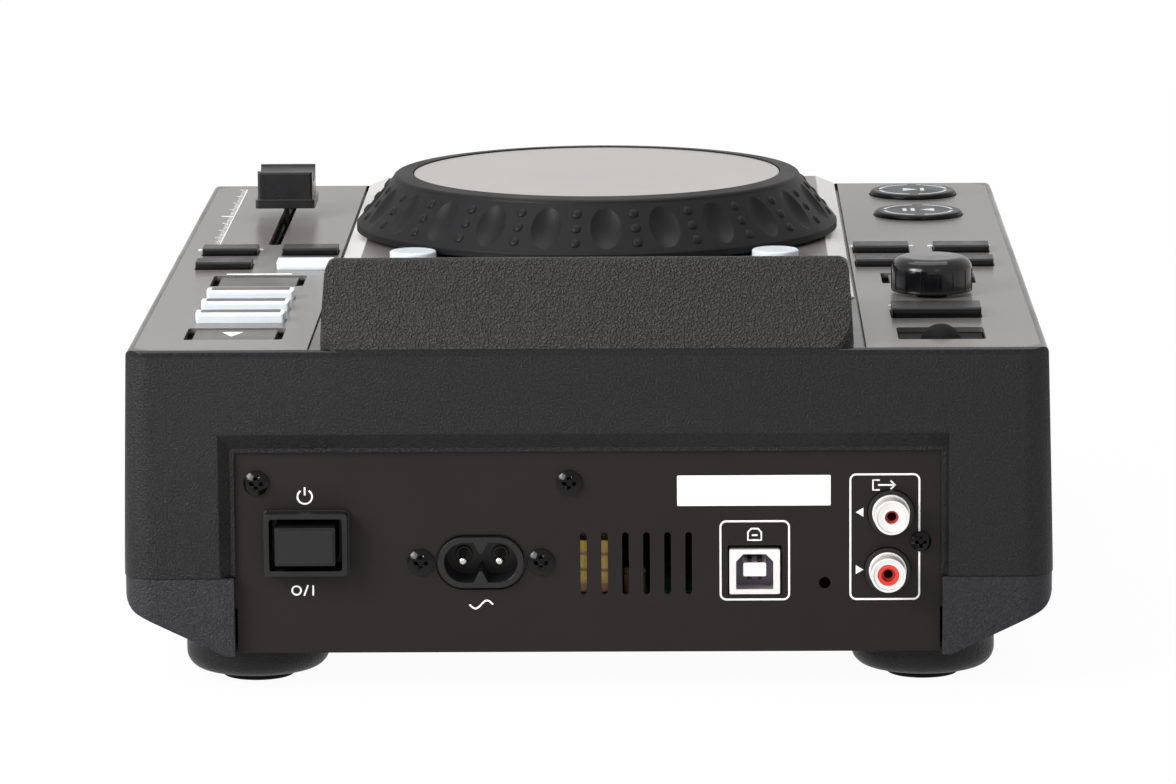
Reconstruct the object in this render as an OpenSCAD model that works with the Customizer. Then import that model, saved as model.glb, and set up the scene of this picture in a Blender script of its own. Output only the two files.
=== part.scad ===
// Compact tabletop disc player for disc jockeys: two moulded shells, a steel socket panel
// at the rear, a touch-free jog wheel, a pitch fader, a browse knob and a slot-in disc drive.
// Millimetres, +Z up. The origin is on the table under the middle of the body, the user
// sits at -Y, the socket panel faces +Y, and the pitch fader is on the user's right, +X.

/* [Body] */
// Width of the body at the seam between its two shells
body_w = 223; // [212:1:280]
// Depth of the body from front to rear
body_d = 285; // [280:1:360]
// Height of the control surface above the table
deck_z = 83.8; // [81:0.2:110]
// Height of the seam between the two shells
seam_z = 28.6; // [27.6:0.1:33]
// Height of the flat underside of the lower shell
base_z = 9.2; // [8:0.2:12]
// Wall of both shells
wall = 2.5; // [2:0.1:3]
// Radius of the upright corners
corner_r = 7.5; // [4:0.5:10]
// Radius along the top edges
edge_r = 1.5; // [0.8:0.1:1.7]
// Moulding draft of each side, from the seam to the control surface
draft = 1.5; // [0.4:0.1:2]
// Angle of the sloping underside along both sides
chamfer_angle = 25.5; // [18:0.5:35]
// Height where that slope would meet the side
chamfer_z = 20.9; // [19:0.1:21.4]
// Radius between the side and the slope
chamfer_r = 6; // [4:0.5:11]
// Step of the lower shell inside the upper one
seam_step = 0.2; // [0.2:0.1:0.6]

/* [Feet] */
// Distance of each foot from the middle, across the body
foot_x = 80.9; // [70:0.1:84]
// Distance of each foot's middle from the front or rear face
foot_inset = 25; // [22:1:40]
// Radius of a moulded foot
foot_r = 17.4; // [14:0.2:18]
// Radius of the rounded bottom edge of a foot
foot_edge_r = 4.3; // [2:0.1:5]
// Height of the rubber pad below the moulded foot
pad_drop = 2.2; // [1.5:0.1:3]
// Radius of a rubber pad
pad_r = 8.8; // [7:0.1:11]

/* [Control plates] */
// Thickness of the control plates
plate_t = 1.2; // [0.8:0.1:1.6]
// Thickness of the moulded deck below the plates
deck_t = 2.4; // [2:0.1:3]
// Rim of the shell round the plates
rim = 1.8; // [1.6:0.1:3]
// Half of the width of the centre strip, between the two grooves
centre_half = 66.1; // [66:0.1:70]
// Width of the groove beside each control plate
groove = 0.5; // [0.3:0.1:0.8]

/* [Jog wheel] */
// Distance of the jog wheel's middle from the front face
jog_from_front = 102.5; // [96:0.5:110]
// Outer radius of the wheel at its lip
jog_r = 64; // [60:0.5:65]
// Height of the silver disc above the control surface
jog_top = 17.6; // [16:0.1:20]
// Radius of the silver disc
jog_disc_r = 48.6; // [44:0.2:50]
// Number of finger dimples round the skirt
dimples = 24; // [12:1:28]
// Rise of the jog plateau above the control surface
plateau_rise = 2.3; // [1.8:0.1:3]
// Running clearance between the wheel's lip and the plateau
jog_gap = 0.8; // [0.5:0.1:1.5]
// Radius of the jog spindle
spindle_r = 4; // [3:0.1:5]

/* [Display housing] */
// Half width of the housing at the control surface
housing_half = 63.7; // [60:0.1:65]
// Moulding draft of each side of the housing
housing_draft = 1; // [0.4:0.1:2.4]
// Radius of the housing's upright rear corners
housing_corner_r = 6.5; // [3:0.5:8]
// Height of the ridge above the control surface
ridge_rise = 20.7; // [15:0.1:24]
// Distance of the ridge in front of the rear face
ridge_back = 12; // [6:0.5:20]
// Depth of the housing from the rear face to its front foot
housing_d = 76; // [70:1:84]
// Height of the housing's front foot above the control surface
housing_toe = 2; // [1.5:0.1:3]
// Width of the display window
window_w = 110; // [90:1:116]
// Length of the display window along the slope
window_l = 46; // [36:1:50]
// Thickness of the display window
window_t = 1.5; // [1:0.1:2]

/* [Buttons] */
// Travel of every push button
press = 0.8; // [0.5:0.1:1]
// Clearance round a button in its cut-out
button_gap = 0.25; // [0.2:0.05:0.4]
// Width of a short bar button
bar_w = 14.4; // [12:0.2:16]
// Length of a short bar button, front to rear
bar_l = 10; // [7:0.2:12]
// Height of the bar buttons above the plate
bar_h = 1.8; // [1.2:0.1:2.4]
// Distance between the two bar buttons of a row
bar_pitch = 21; // [18:0.2:21.4]
// Width of a mode key
key_w = 21.8; // [18:0.2:23]
// Length of a mode key, front to rear
key_l = 6.2; // [5:0.2:8]
// Height of a mode key above the plate
key_h = 2.4; // [1.5:0.1:3]
// Distance from one mode key to the next
key_pitch = 17.6; // [12:0.2:20]
// Width of a sunk button
sunk_w = 19.8; // [17:0.2:20]
// Length of a sunk button, front to rear
sunk_l = 16.4; // [12:0.2:17]
// Gap beside a sunk button in the plate
sunk_side = 2; // [1.8:0.1:3]
// Radius of the cue and play buttons
round_r = 12; // [10:0.2:13]
// Height of the cue and play buttons above the plate
round_h = 1.3; // [0.8:0.1:2]
// Radius of the white pad buttons on the plateau
pad_button_r = 6; // [5:0.1:6.4]
// Height of the white pad buttons above the plateau
pad_button_h = 2.2; // [1.5:0.1:3]

/* [Fader and knob] */
// Travel of the pitch fader
fader_travel = 100; // [60:1:104]
// Width of the fader slot
fader_slot_w = 3.3; // [3:0.1:4]
// Width of the fader cap
fader_cap_w = 16.2; // [12:0.1:18]
// Length of the fader cap along its slot
fader_cap_l = 18; // [15:0.1:19]
// Height of the fader cap
fader_cap_h = 10; // [9:0.1:13]
// Gap between the fader cap and the plate
fader_cap_gap = 3.4; // [1:0.1:4]
// Radius of the browse knob
knob_r = 9.9; // [8:0.1:11]
// Height of the browse knob above the plate
knob_h = 9.5; // [9:0.1:14]
// Number of flats round the browse knob
knob_flats = 15; // [10:1:20]
// Travel of the browse knob when it is pushed
knob_press = 0.6; // [0.4:0.1:0.8]

/* [Rear panel] */
// Half width of the opening for the socket panel
panel_half = 84.5; // [84:0.1:86]
// Height of the top of that opening above the table
panel_top = 58.8; // [57:0.1:61]
// Width of the lip round that opening
panel_lip = 1; // [0.6:0.1:1.4]
// Width of lip and bevel beside the opening, on the user's right
bevel_right = 3.7; // [2.5:0.1:5]
// Width of lip and bevel beside the opening, on the user's left
bevel_left = 1.8; // [1.5:0.1:5]
// Height of lip and bevel over the opening
bevel_top = 4.7; // [2.5:0.1:6]
// Depth of the socket panel behind the rear face
panel_inset = 3.2; // [2.5:0.1:4]
// Thickness of the steel socket panel
panel_t = 1.2; // [0.8:0.1:1.5]
// Number of vent slots
vents = 6; // [4:1:8]
// Distance from one vent slot to the next
vent_pitch = 5.04; // [4.4:0.02:5.4]
// Width of a vent slot
vent_w = 1.6; // [1.2:0.1:2]
// Height of a vent slot
vent_h = 15.2; // [10:0.2:16]

/* [Disc drive] */
// Height of the disc path above the table
disc_z = 52.8; // [51:0.2:57]
// Width of the disc slot
slot_w = 124; // [122:0.5:128]
// Height of the disc slot
slot_h = 5; // [4.6:0.1:6]
// Radius of a standard disc
disc_r = 60; // [40:1:60]
// Travel of the pickup from the inner to the outer track
sled_travel = 34; // [20:1:35]

/* [Hidden] */
$fn = 64;
RUN = 0.04;          // radial clearance of a shaft in its bearing
FIT = 0.2;           // clearance between parts that stay still
ARC = 8;             // straight steps that stand for a small rounded corner
yf = -body_d / 2;    // front face
yr = body_d / 2;     // rear face
half_top = body_w / 2 - draft;

// Heights of the layers under the control surface
deck_top = deck_z - plate_t;
deck_low = deck_top - deck_t;
flange_t = 1.2;
flange_low = deck_low - FIT - flange_t;
switch_h = 4;
switch_side = 6;
board_t = 1.6;
board_top = flange_low - press - 0.15 - switch_h;
plateau_z = deck_z + plateau_rise;

// Columns and rows of controls
plate_in = centre_half + groove;
column_x = (plate_in + half_top - 5.8) / 2;
round_x = column_x + 1.8;
rear_x = column_x - 0.3;
bar_row_front = yr - 156.6;
bar_row_rear = yr - 132.8;
sunk_y = yr - 108.8;
key_y0 = yr - 80.3;
eject_y = yr - 25.5;
cue_y = yr - 261.5;
play_y = yr - 221.8;
knob_y = yr - 84.5;
back_y = yr - 51.6;
back_l = 13.2;
usb_a_y = yr - 22.1;
fader_y = yf + 61;
fader_end = fader_travel / 2 + 3.4;
jog_y = yf + jog_from_front;
pad_angle = 48.4;    // direction of a pad button from the middle of the jog wheel
pad_reach = jog_r + pad_button_r + 0.5;
pad_x = pad_reach * cos(pad_angle);
pad_y = jog_y + pad_reach * sin(pad_angle);
bar_l2 = bar_pitch / 2;
BARS = [for (side = [1, -1], row = [bar_row_front, bar_row_rear], out = [1, -1])
        [side * (column_x + out * bar_l2), row]];
KEYS = [for (i = [0:2]) [column_x, key_y0 + i * key_pitch]];
SUNK = [[column_x, sunk_y], [column_x, eject_y], [-column_x, sunk_y]];
ROUNDS = [[-round_x, cue_y], [-round_x, play_y]];
PADS = [[pad_x, pad_y], [-pad_x, pad_y]];
BACK = [-rear_x, back_y];

// Rear panel: places are [across, height above the table]
signal_board_z = 23.8;
usb_b_w = 12.1;
usb_b_h = 10.9;
panel_face = yr - panel_inset;
panel_back = panel_face - panel_t;
switch_at = [67.4, 37];
mains_at = [25.7, 31.8];
vents_at = [-11.5, 31.3];
usb_b_at = [-39.9, signal_board_z + usb_b_h / 2];
RCA = [[-72.5, 43.5], [-71.7, 29.5]];
panel_screws = [[79.3, 51.3], [4.4, 51.1]];
mains_screw_dx = 14.4;
rca_screw = [-79.65, (RCA[0][1] + RCA[1][1]) / 2];
spare_hole = [-56.7, 26.4];

// ---------------------------------------------------------------- outlines

function arc(c, r, a0, a1) = [for (i = [0:ARC]) c + r * [cos(a0 + (a1 - a0) * i / ARC),
                                                        sin(a0 + (a1 - a0) * i / ARC)]];
function reversed(v) = [for (i = [len(v) - 1:-1:0]) v[i]];
function cross2(a, b) = a[0] * b[1] - a[1] * b[0];
function meet(p, d, q, e) = p + d * cross2(q - p, e) / cross2(d, e);
function unit(v) = v / norm(v);

// Half of the body's cross-section, from the middle of the base round to the middle of the
// top, taken in by i all round and ending at the height top.
function side_outline(i, top, er) =
  let (s = sin(chamfer_angle), c = cos(chamfer_angle), hw = body_w / 2 - i,
       zc = chamfer_z + i * (1 - s) / c, r = max(chamfer_r - i, 1),
       xb = body_w / 2 - (chamfer_z - base_z) * c / s - i * (1 - c) / s)
  concat([[0, base_z + i], [xb, base_z + i]],
         arc([hw - r, zc + r * (1 - s) / c], r, chamfer_angle - 90, 0),
         [[hw, seam_z]],
         arc([hw - draft - er, top - er], er, 0, 90),
         [[0, top]]);

// The body's outline from the side: Y forward and back, Z up.
function length_outline(i, top, er, rear) =
  concat([[yr - rear, base_z + i]],
         arc([yr - rear - er, top - er], er, 0, 90),
         arc([yf + i + er, top - er], er, 90, 180),
         [[yf + i, chamfer_z + i * 0.4], [yf + i + (chamfer_z - base_z) * 1.3, base_z + i]]);

module rrect(w, d, r) {
  square([w - 2 * r, d], center = true);
  square([w, d - 2 * r], center = true);
  for (x = [-1, 1], y = [-1, 1]) translate([x * (w / 2 - r), y * (d / 2 - r)]) circle(r);
}

module slab(w, d, r, z0, z1) translate([0, 0, z0]) linear_extrude(z1 - z0) rrect(w, d, r);

module stadium(w, h) {
  square([w - h, h], center = true);
  for (x = [-1, 1]) translate([x * (w - h) / 2, 0]) circle(h / 2);
}

// Extrudes an XZ outline along Y, from y0 to y1.
module along_y(y0, y1) translate([0, y1, 0]) rotate([90, 0, 0]) linear_extrude(y1 - y0) children();

// Extrudes a YZ outline along X, from x0 to x1.
module along_x(x0, x1)
  translate([x0, 0, 0]) rotate([90, 0, 90]) linear_extrude(x1 - x0) children();

// Stands a child that is drawn on the panel's face at [x, z], with +Z of the child facing out.
module on_panel(at) translate([at[0], panel_face, at[1]]) rotate([-90, 0, 0]) children();

module box(x0, x1, y0, y1, z0, z1) translate([x0, y0, z0]) cube([x1 - x0, y1 - y0, z1 - z0]);

// The body's closed form, taken in by i, ending at top, with its rear face taken in by rear.
module body_form(i, top, er, rear) intersection() {
  half = side_outline(i, top, er);
  along_y(yf - 1, yr + 1)
    polygon(concat(half, reversed([for (p = half) if (p[0] > 0) [-p[0], p[1]]])));
  along_x(-body_w, body_w) polygon(length_outline(i, top, er, rear));
  translate([0, (i - rear) / 2, 0])
    slab(body_w - 2 * i, body_d - i - rear, max(corner_r - i, 1), 0, deck_z + 1);
}

// ---------------------------------------------------------------- display housing

rear_foot = [yr, deck_z];
ridge = [yr - ridge_back, deck_z + ridge_rise];
toe = [yr - housing_d, deck_z + housing_toe];
rear_dir = unit(ridge - rear_foot);
slope_dir = unit(toe - ridge);
slope_angle = atan2(ridge[1] - toe[1], ridge[0] - toe[0]);
function inward(d) = [-d[1], d[0]];

// The housing's side outline taken in by i, with a ridge radius of r, standing on z0.
function housing_outline(i, r, z0) =
  let (a = rear_foot + i * inward(rear_dir), b = ridge + i * inward(slope_dir),
       c = meet(rear_foot + (i + r) * inward(rear_dir), rear_dir,
                ridge + (i + r) * inward(slope_dir), slope_dir),
       a0 = atan2(-inward(rear_dir)[1], -inward(rear_dir)[0]),
       a1 = atan2(-inward(slope_dir)[1], -inward(slope_dir)[0]),
       low = meet(a, rear_dir, [0, deck_z], [1, 0]))
  concat([[low[0], z0], low], arc(c, r, a0, a1),
         [meet(b, slope_dir, [toe[0] + i, 0], [0, 1]), [toe[0] + i, z0]]);

module housing_form(i, z0) intersection() {
  along_x(-body_w / 2, body_w / 2) polygon(housing_outline(i, 2, z0));
  along_y(yf, yr + 1) polygon(concat(
    [[-housing_half + i, z0], [housing_half - i, z0], [housing_half - i, deck_z]],
    arc([housing_half - housing_draft - 4, deck_z + ridge_rise - 4 - i], 4 - i / 2, 3, 90),
    arc([-housing_half + housing_draft + 4, deck_z + ridge_rise - 4 - i], 4 - i / 2, 90, 177),
    [[-housing_half + i, deck_z]]));
  translate([0, yr - housing_d - i, 0])
    slab(2 * (housing_half - i), 2 * housing_d, housing_corner_r - i / 2, z0, deck_z + ridge_rise + 1);
}

// Places a child on the middle of the display slope, +Z along the slope's outward normal.
module on_slope() {
  m = (ridge + toe) / 2;
  translate([0, m[0], m[1]]) rotate([slope_angle, 0, 0]) children();
}

// ---------------------------------------------------------------- cut-outs in the deck

module at(p) translate([p[0], p[1], 0]) children();

// Every button's shank through plate and deck, grown by g.
module button_holes(g, z0, z1) {
  for (p = BARS) at(p) slab(bar_w + 2 * g, bar_l + 2 * g, 1, z0, z1);
  for (p = KEYS) at(p) slab(key_w + 2 * g, key_l + 2 * g, 1, z0, z1);
  for (p = SUNK) at(p) slab(sunk_w + 2 * g, sunk_l + 2 * g, 1, z0, z1);
  for (p = ROUNDS) at(p) translate([0, 0, z0]) cylinder(r = round_r + g, h = z1 - z0);
  at(BACK) slab(key_w + 2 * g, back_l + 2 * g, 1, z0, z1);
  at([column_x, fader_y]) slab(fader_slot_w, 2 * fader_end, fader_slot_w / 2 - 0.01, z0, z1);
}

module pad_holes(g, z0, z1)
  for (p = PADS) at(p) translate([0, 0, z0]) cylinder(r = pad_button_r + g, h = z1 - z0);

usb_recess_w = 21;
usb_recess_l = 17.8;
usb_recess_z = deck_z - 1.4;
cap_plate_t = 1.3;
usb_a_at = [-rear_x, usb_a_y];
usb_a_w = 13.2;
usb_a_d = 5.8;

// ---------------------------------------------------------------- shells

case_screw_y = [yf + 40, yf + 142, yr - 46];
case_screw_x = body_w / 2 - wall - 4.6;
case_boss_r = 4.6;

// The bevelled funnel round the socket panel; it ends at a flat lip.
module rear_bevel() intersection() {
  right = panel_half + bevel_right;
  left = -panel_half - bevel_left;
  lip_face = panel_face + 1;
  translate([0, 0, seam_z]) linear_extrude(deck_z) polygon([
    [-panel_half - panel_lip, lip_face], [panel_half + panel_lip, lip_face], [right, yr],
    [right, yr + 1], [left, yr + 1], [left, yr]]);
  along_x(-body_w / 2, body_w / 2) polygon([
    [lip_face, 0], [lip_face, panel_top + panel_lip], [yr, panel_top + bevel_top],
    [yr + 1, panel_top + bevel_top], [yr + 1, 0]]);
}

module upper_shell() color("#2d2e30") difference() {
  union() {
    difference() {
      body_form(0, deck_z, edge_r, 0);
      body_form(wall, deck_low, 1, panel_inset);
      box(-body_w, body_w, 2 * yf, 2 * yr, -1, seam_z);
      plate_pockets();
    }
    housing_form(0, deck_low);
    for (s = [-1, 1], y = case_screw_y) upper_boss(s, y);
    for (p = panel_screws) screw_tab(p);
    board_hangers();
  }
  housing_form(wall, deck_low - 1);
  on_slope() slab(window_w + 2 * FIT, window_l + 2 * FIT, 2, -window_t, 5);
  on_slope() slab(window_w - 6, window_l - 6, 1, -8, 1);
  rear_bevel();
  box(-panel_half, panel_half, panel_face - 0.5, yr + 1, 0, panel_top);
  button_holes(button_gap, deck_low - 1, deck_z + 1);
  pad_holes(button_gap, deck_low - 1, deck_z + 1);
  for (p = SUNK) at(p) slab(sunk_w + 2 * sunk_side, sunk_l + 1, 1, deck_top - 1.2, deck_z + 1);
  at(usb_a_at) slab(usb_recess_w, usb_recess_l, 1, usb_recess_z - cap_plate_t - 0.1, deck_z);
  at(usb_a_at) slab(usb_a_w + 0.6, usb_a_d + 0.6, 0.5, deck_low - 1, deck_z);
  at([-column_x, knob_y]) translate([0, 0, deck_low - 1]) cylinder(r = bush_r + FIT, h = 9);
  at([0, jog_y]) translate([0, 0, deck_low - 1]) cylinder(r = spindle_r + FIT, h = 9);
  for (s = [-1, 1], y = case_screw_y) at([s * case_screw_x, y])
    translate([0, 0, seam_z - 1]) cylinder(r = screw_r + RUN, h = 15);
  for (p = panel_screws) on_panel(p) translate([0, 0, -12]) cylinder(r = screw_r + RUN, h = 13);
  slot_cut();
}

// Shallow pockets that the control plates and the jog plate lie in.
module plate_pockets() {
  for (s = [-1, 1]) translate([0, 0, deck_top]) linear_extrude(9) plate_outline(s, 0);
  box(-centre_half - 0.01, centre_half + 0.01, yf + rim, yr - housing_d, deck_top, deck_z + 9);
}

// A control plate's outline, less a gap all round; its outer corners follow the body's.
module plate_outline(s, gap) intersection() {
  rrect(2 * (half_top - rim - gap), body_d - 2 * rim - 2 * gap, corner_r - rim);
  translate([s * (centre_half + gap + half_top / 2), 0]) square([half_top, 2 * body_d], center = true);
}

module upper_boss(s, y) intersection() {
  union() {
    at([s * case_screw_x, y]) translate([0, 0, seam_z]) cylinder(r = case_boss_r, h = 22);
    at([s * (case_screw_x + 3), y]) box(-3, 3, -case_boss_r, case_boss_r, seam_z, seam_z + 22);
  }
  body_form(wall / 2, deck_z, edge_r, wall);
}

// A tab behind the socket panel that takes one of its screws. It grows out of the rear wall
// above the panel's edge.
module screw_tab(p) {
  box(p[0] - 5, p[0] + 5, panel_back - 7, panel_back - 0.05, p[1] - 5, deck_low + 0.5);
  box(p[0] - 5, p[0] + 5, panel_back - 7, panel_face + 0.5, panel_top + 4, deck_low - 2);
}

// Posts that hang from the deck and carry the control board and the small socket board.
hanger_y = [yf + 8, yr - 39];
module board_hangers() {
  for (s = [-1, 1], y = hanger_y)
    at([s * (half_top - 6.6), y]) cylinder_z(3, board_top, deck_low + 0.5);
  for (dx = [-6.8, 6.8]) at([-rear_x + dx, usb_a_y - 9.6]) cylinder_z(2, usb_a_board_z, deck_low + 0.5);
}

module slot_cut() box(-slot_bezel_w / 2 + 1, slot_bezel_w / 2 - 1, yf - 1, yf + wall + 1,
                      disc_z - slot_bezel_h / 2 + 1, disc_z + slot_bezel_h / 2 - 1);

module lower_shell() color("#2b2c2e") difference() {
  union() {
    difference() {
      union() {
        body_form(seam_step, deck_z, edge_r, seam_step);
        feet_form();
      }
      body_form(wall + seam_step, deck_z + 5, 1, panel_inset);
      box(-body_w, body_w, 2 * yf, 2 * yr, seam_z, 2 * deck_z);
      box(-panel_half - 0.3, panel_half + 0.3, panel_back - FIT, yr + 1, 0, seam_z + 1);
    }
    for (s = [-1, 1], y = case_screw_y) lower_boss(s, y);
    floor_posts();
  }
  for (s = [-1, 1], e = [-1, 1]) at([s * foot_x, e * (yr - foot_inset)]) {
    translate([0, 0, pad_drop - 1]) cylinder(r = pad_r + 0.05, h = 2);
    translate([0, 0, pad_drop + 1 + wall]) cylinder(r = foot_r - wall, h = base_z - pad_drop + 3);
  }
  for (s = [-1, 1], y = case_screw_y) at([s * case_screw_x, y]) {
    cylinder(r = screw_r + 0.2, h = seam_z + 1);
    cylinder(r = screw_head_r + 0.4, h = seam_z - 3.2);
  }
}

module feet_form() intersection() {
  for (s = [-1, 1], e = [-1, 1]) at([s * foot_x, e * (yr - foot_inset)]) rotate_extrude() {
    translate([0, pad_drop + foot_edge_r]) square([foot_r, 20]);
    translate([0, pad_drop]) square([foot_r - foot_edge_r, foot_edge_r + 1]);
    translate([foot_r - foot_edge_r, pad_drop + foot_edge_r]) intersection() {
      circle(foot_edge_r);
      translate([0, -foot_edge_r]) square(foot_edge_r);
    }
  }
  union() {
    body_form(seam_step, deck_z, edge_r, seam_step);
    box(-body_w / 2, body_w / 2, yf, yr, 0, chamfer_z);
  }
  box(-body_w / 2 + 5, body_w / 2 - 5, yf, panel_back - FIT, 0, seam_z - 6);
}

module lower_boss(s, y) intersection() {
  at([s * case_screw_x, y]) cylinder(r = case_boss_r, h = seam_z);
  body_form(wall / 2 + seam_step, deck_z, edge_r, wall);
  box(-body_w / 2, body_w / 2, yf, yr, 0, seam_z - 0.1);
}

floor_z = base_z + wall + seam_step;

// Posts on the floor for the power board, the signal board and the disc drive.
module floor_posts() {
  for (p = power_posts) post(p, power_board_z - board_t);
  for (p = signal_posts) post(p, signal_board_z - board_t);
  for (p = drive_posts) post(p, drive_low);
}

module post(p, top) at(p) translate([0, 0, floor_z - 0.5]) cylinder(r = 3.2, h = top - floor_z + 0.5);

module foot_pads() color("#161617") for (s = [-1, 1], e = [-1, 1])
  at([s * foot_x, e * (yr - foot_inset)]) rotate_extrude() {
    translate([0, 0.6]) square([pad_r, pad_drop + 0.4]);
    square([pad_r - 0.6, 1]);
    translate([pad_r - 0.6, 0.6]) circle(0.6);
  }

// ---------------------------------------------------------------- control surface

module control_plates() color("#3a3a3c") difference() {
  for (s = [-1, 1]) translate([0, 0, deck_top]) linear_extrude(plate_t) difference() {
    plate_outline(s, 0.01);
    translate([s * centre_half, 0]) square([2 * groove, 2 * body_d], center = true);
  }
  button_holes(button_gap, deck_top - 1, deck_z + 1);
  for (p = SUNK) at(p) slab(sunk_w + 2 * sunk_side, sunk_l + 1, 1, deck_top - 1, deck_z + 1);
  at(usb_a_at) slab(usb_recess_w, usb_recess_l, 1, deck_top - 1, deck_z + 1);
  at([-column_x, knob_y]) translate([0, 0, deck_top - 1]) cylinder(r = bush_r + FIT, h = 9);
}

// The raised plateau under the jog wheel, with sloping flanks along both grooves.
module jog_plate() color("#4a4a4c") difference() {
  x0 = centre_half - 0.4;
  x1 = centre_half - 5.6;
  union() {
    along_y(yf + rim + FIT, yr - housing_d - FIT) polygon([
      [-x0, deck_top], [x0, deck_top], [x0, deck_z + 0.2], [x1, plateau_z],
      [-x1, plateau_z], [-x0, deck_z + 0.2]]);
    at([0, jog_y]) translate([0, 0, plateau_z - 1]) cylinder(r = 12, h = boss_top - plateau_z + 1);
  }
  at([0, jog_y]) translate([0, 0, deck_low]) cylinder(r = spindle_r + 0.02, h = 40);
  pad_holes(button_gap, deck_low, plateau_z + 1);
}

module display_window() color("#101214") on_slope()
  slab(window_w, window_l, 1.8, -window_t + 0.02, 0);

// ---------------------------------------------------------------- buttons

// The shank and retaining flange under a cap of the size w by d, of a button in the deck.
module flange(w, d) slab(w + 2.4, d + 1.6, 1, flange_low, flange_low + flange_t);

// A cap whose long top edges are rounded with the radius r.
module bar_cap(w, d, r, z0, z1) intersection() {
  slab(w, d, 0.8, z0, z1);
  along_x(-w, w) {
    translate([-d / 2, z0]) square([d, z1 - z0 - r]);
    translate([-d / 2 + r, z0]) square([d - 2 * r, z1 - z0]);
    for (s = [-1, 1]) translate([s * (d / 2 - r), z1 - r]) circle(r);
  }
}

lit_bar = 3;         // the one bar button that is white
module bar_button(i) color(i == lit_bar ? "#eef0f2" : "#2a2a2c") at(BARS[i]) {
  flange(bar_w, bar_l);
  bar_cap(bar_w, bar_l, 1.4, flange_low + 0.5, deck_z + bar_h);
}

// A translucent key with a shallow tray in its top for an opaque label plate.
module mode_key(i) color("#e6ecee") at(KEYS[i]) difference() {
  union() {
    flange(key_w, key_l);
    bar_cap(key_w, key_l, 0.7, flange_low + 0.5, deck_z + key_h);
  }
  translate([0, -0.7, 0]) slab(key_w - 2.4, key_l - 2.2, 0.3, deck_z + key_h - 0.3, deck_z + 9);
}

module sunk_button(i) color("#4a4a4b") at(SUNK[i]) {
  flange(sunk_w, sunk_l);
  bar_cap(sunk_w, sunk_l, 0.4, flange_low + 0.5, deck_z - 0.3);
}

module round_button(i) color("#2a2a2c") at(ROUNDS[i]) rotate_extrude() difference() {
  union() {
    translate([0, flange_low]) square([round_r + 1.2, flange_t]);
    translate([0, flange_low]) square([round_r, deck_z + round_h - 1 - flange_low]);
    translate([0, flange_low]) square([round_r - 1, deck_z + round_h - flange_low]);
    translate([round_r - 1, deck_z + round_h - 1]) circle(1);
  }
  translate([-9, 0]) square([9, 2 * deck_z]);
}

module pad_button(i) color("#f2f4f6") at(PADS[i]) rotate_extrude() difference() {
  union() {
    translate([0, flange_low]) square([pad_button_r + 1.2, flange_t]);
    translate([0, flange_low]) square([pad_button_r, plateau_z + pad_button_h - 0.5 - flange_low]);
    translate([0, flange_low]) square([pad_button_r - 0.5, plateau_z + pad_button_h - flange_low]);
    translate([pad_button_r - 0.5, plateau_z + pad_button_h - 0.5]) circle(0.5);
  }
  translate([-9, 0]) square([9, 2 * deck_z]);
}

module back_button() color("#2a2a2c") at(BACK) {
  flange(key_w, back_l);
  bar_cap(key_w, back_l, 1.4, flange_low + 0.5, deck_z + key_h);
}

// ---------------------------------------------------------------- boards inside

power_board_z = 21.3;
power_board = [-14, 83, yr - 70, panel_back - 3];
signal_board = [-84, -16, yr - 70, panel_back - 3];
power_posts = [[-6, yr - 64], [77, yr - 64], [46, yr - 12], [8, yr - 10]];
signal_posts = [[-78, yr - 64], [-22, yr - 64], [-58, yr - 12]];
control_board_x = [centre_half + 3, half_top - 3.6];
control_board_y = [yf + 4, yr - 35];
centre_board_y = [jog_y + jog_r - 22, yr - housing_d + 10];
usb_a_board_z = deck_low - FIT - 16;

module circuit_boards() color("#1f5a34") {
  box(power_board[0], power_board[1], power_board[2], power_board[3],
      power_board_z - board_t, power_board_z);
  box(signal_board[0], signal_board[1], signal_board[2], signal_board[3],
      signal_board_z - board_t, signal_board_z);
  for (s = [0, 1]) mirror([s, 0, 0]) box(control_board_x[0], control_board_x[1],
    control_board_y[0], control_board_y[1], board_top - board_t, board_top);
  box(-control_board_x[0] - 1, control_board_x[0] + 1, centre_board_y[0], centre_board_y[1],
      board_top - board_t, board_top);
  translate([0, usb_a_y - 1, 0])
    box(-rear_x - 9, -rear_x + 9, -12, 12, usb_a_board_z - board_t, usb_a_board_z);
  at([column_x, eject_y])
    box(-9, 9, -12, 12, board_top - board_t, board_top);
}

module tact_switch() {
  slab(switch_side, switch_side, 0.3, board_top, board_top + switch_h - 0.8);
  translate([0, 0, board_top + switch_h - 1]) cylinder(r = 1.7, h = 1);
}

module board_components() color("#3c3a36") {
  for (p = concat(BARS, KEYS, SUNK, ROUNDS, PADS, [BACK])) at(p) tact_switch();
  for (p = [[30, yr - 36], [42, yr - 36], [54, yr - 40]])
    at(p) translate([0, 0, power_board_z]) cylinder(r = 5, h = 20);
  for (p = [[-11, yr - 15], [-11, yr - 22]])
    at(p) translate([0, 0, power_board_z]) cylinder(r = 2.6, h = 5);
  at([-48, yr - 45]) box(-10, 10, -10, 10, signal_board_z, signal_board_z + 1.6);
  at([-74, yr - 48]) box(-5, 5, -7, 7, signal_board_z, signal_board_z + 1.4);
  on_slope() slab(window_w - 8, window_l - 8, 1, -window_t - 5, -window_t - 0.02);
  encoder();
}

module power_transformer() color("#d8b62a") at([0.6, panel_back - 1.2 - 11]) {
  box(-7.4, 7.4, -9, 9, power_board_z, power_board_z + 2.5);
  box(-6.5, 6.5, -11, 11, power_board_z + 2.5, power_board_z + 15.2);
  box(-8, 8, -6, 6, power_board_z + 2.5, power_board_z + 17.4);
}

// ---------------------------------------------------------------- rear panel and sockets

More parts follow.
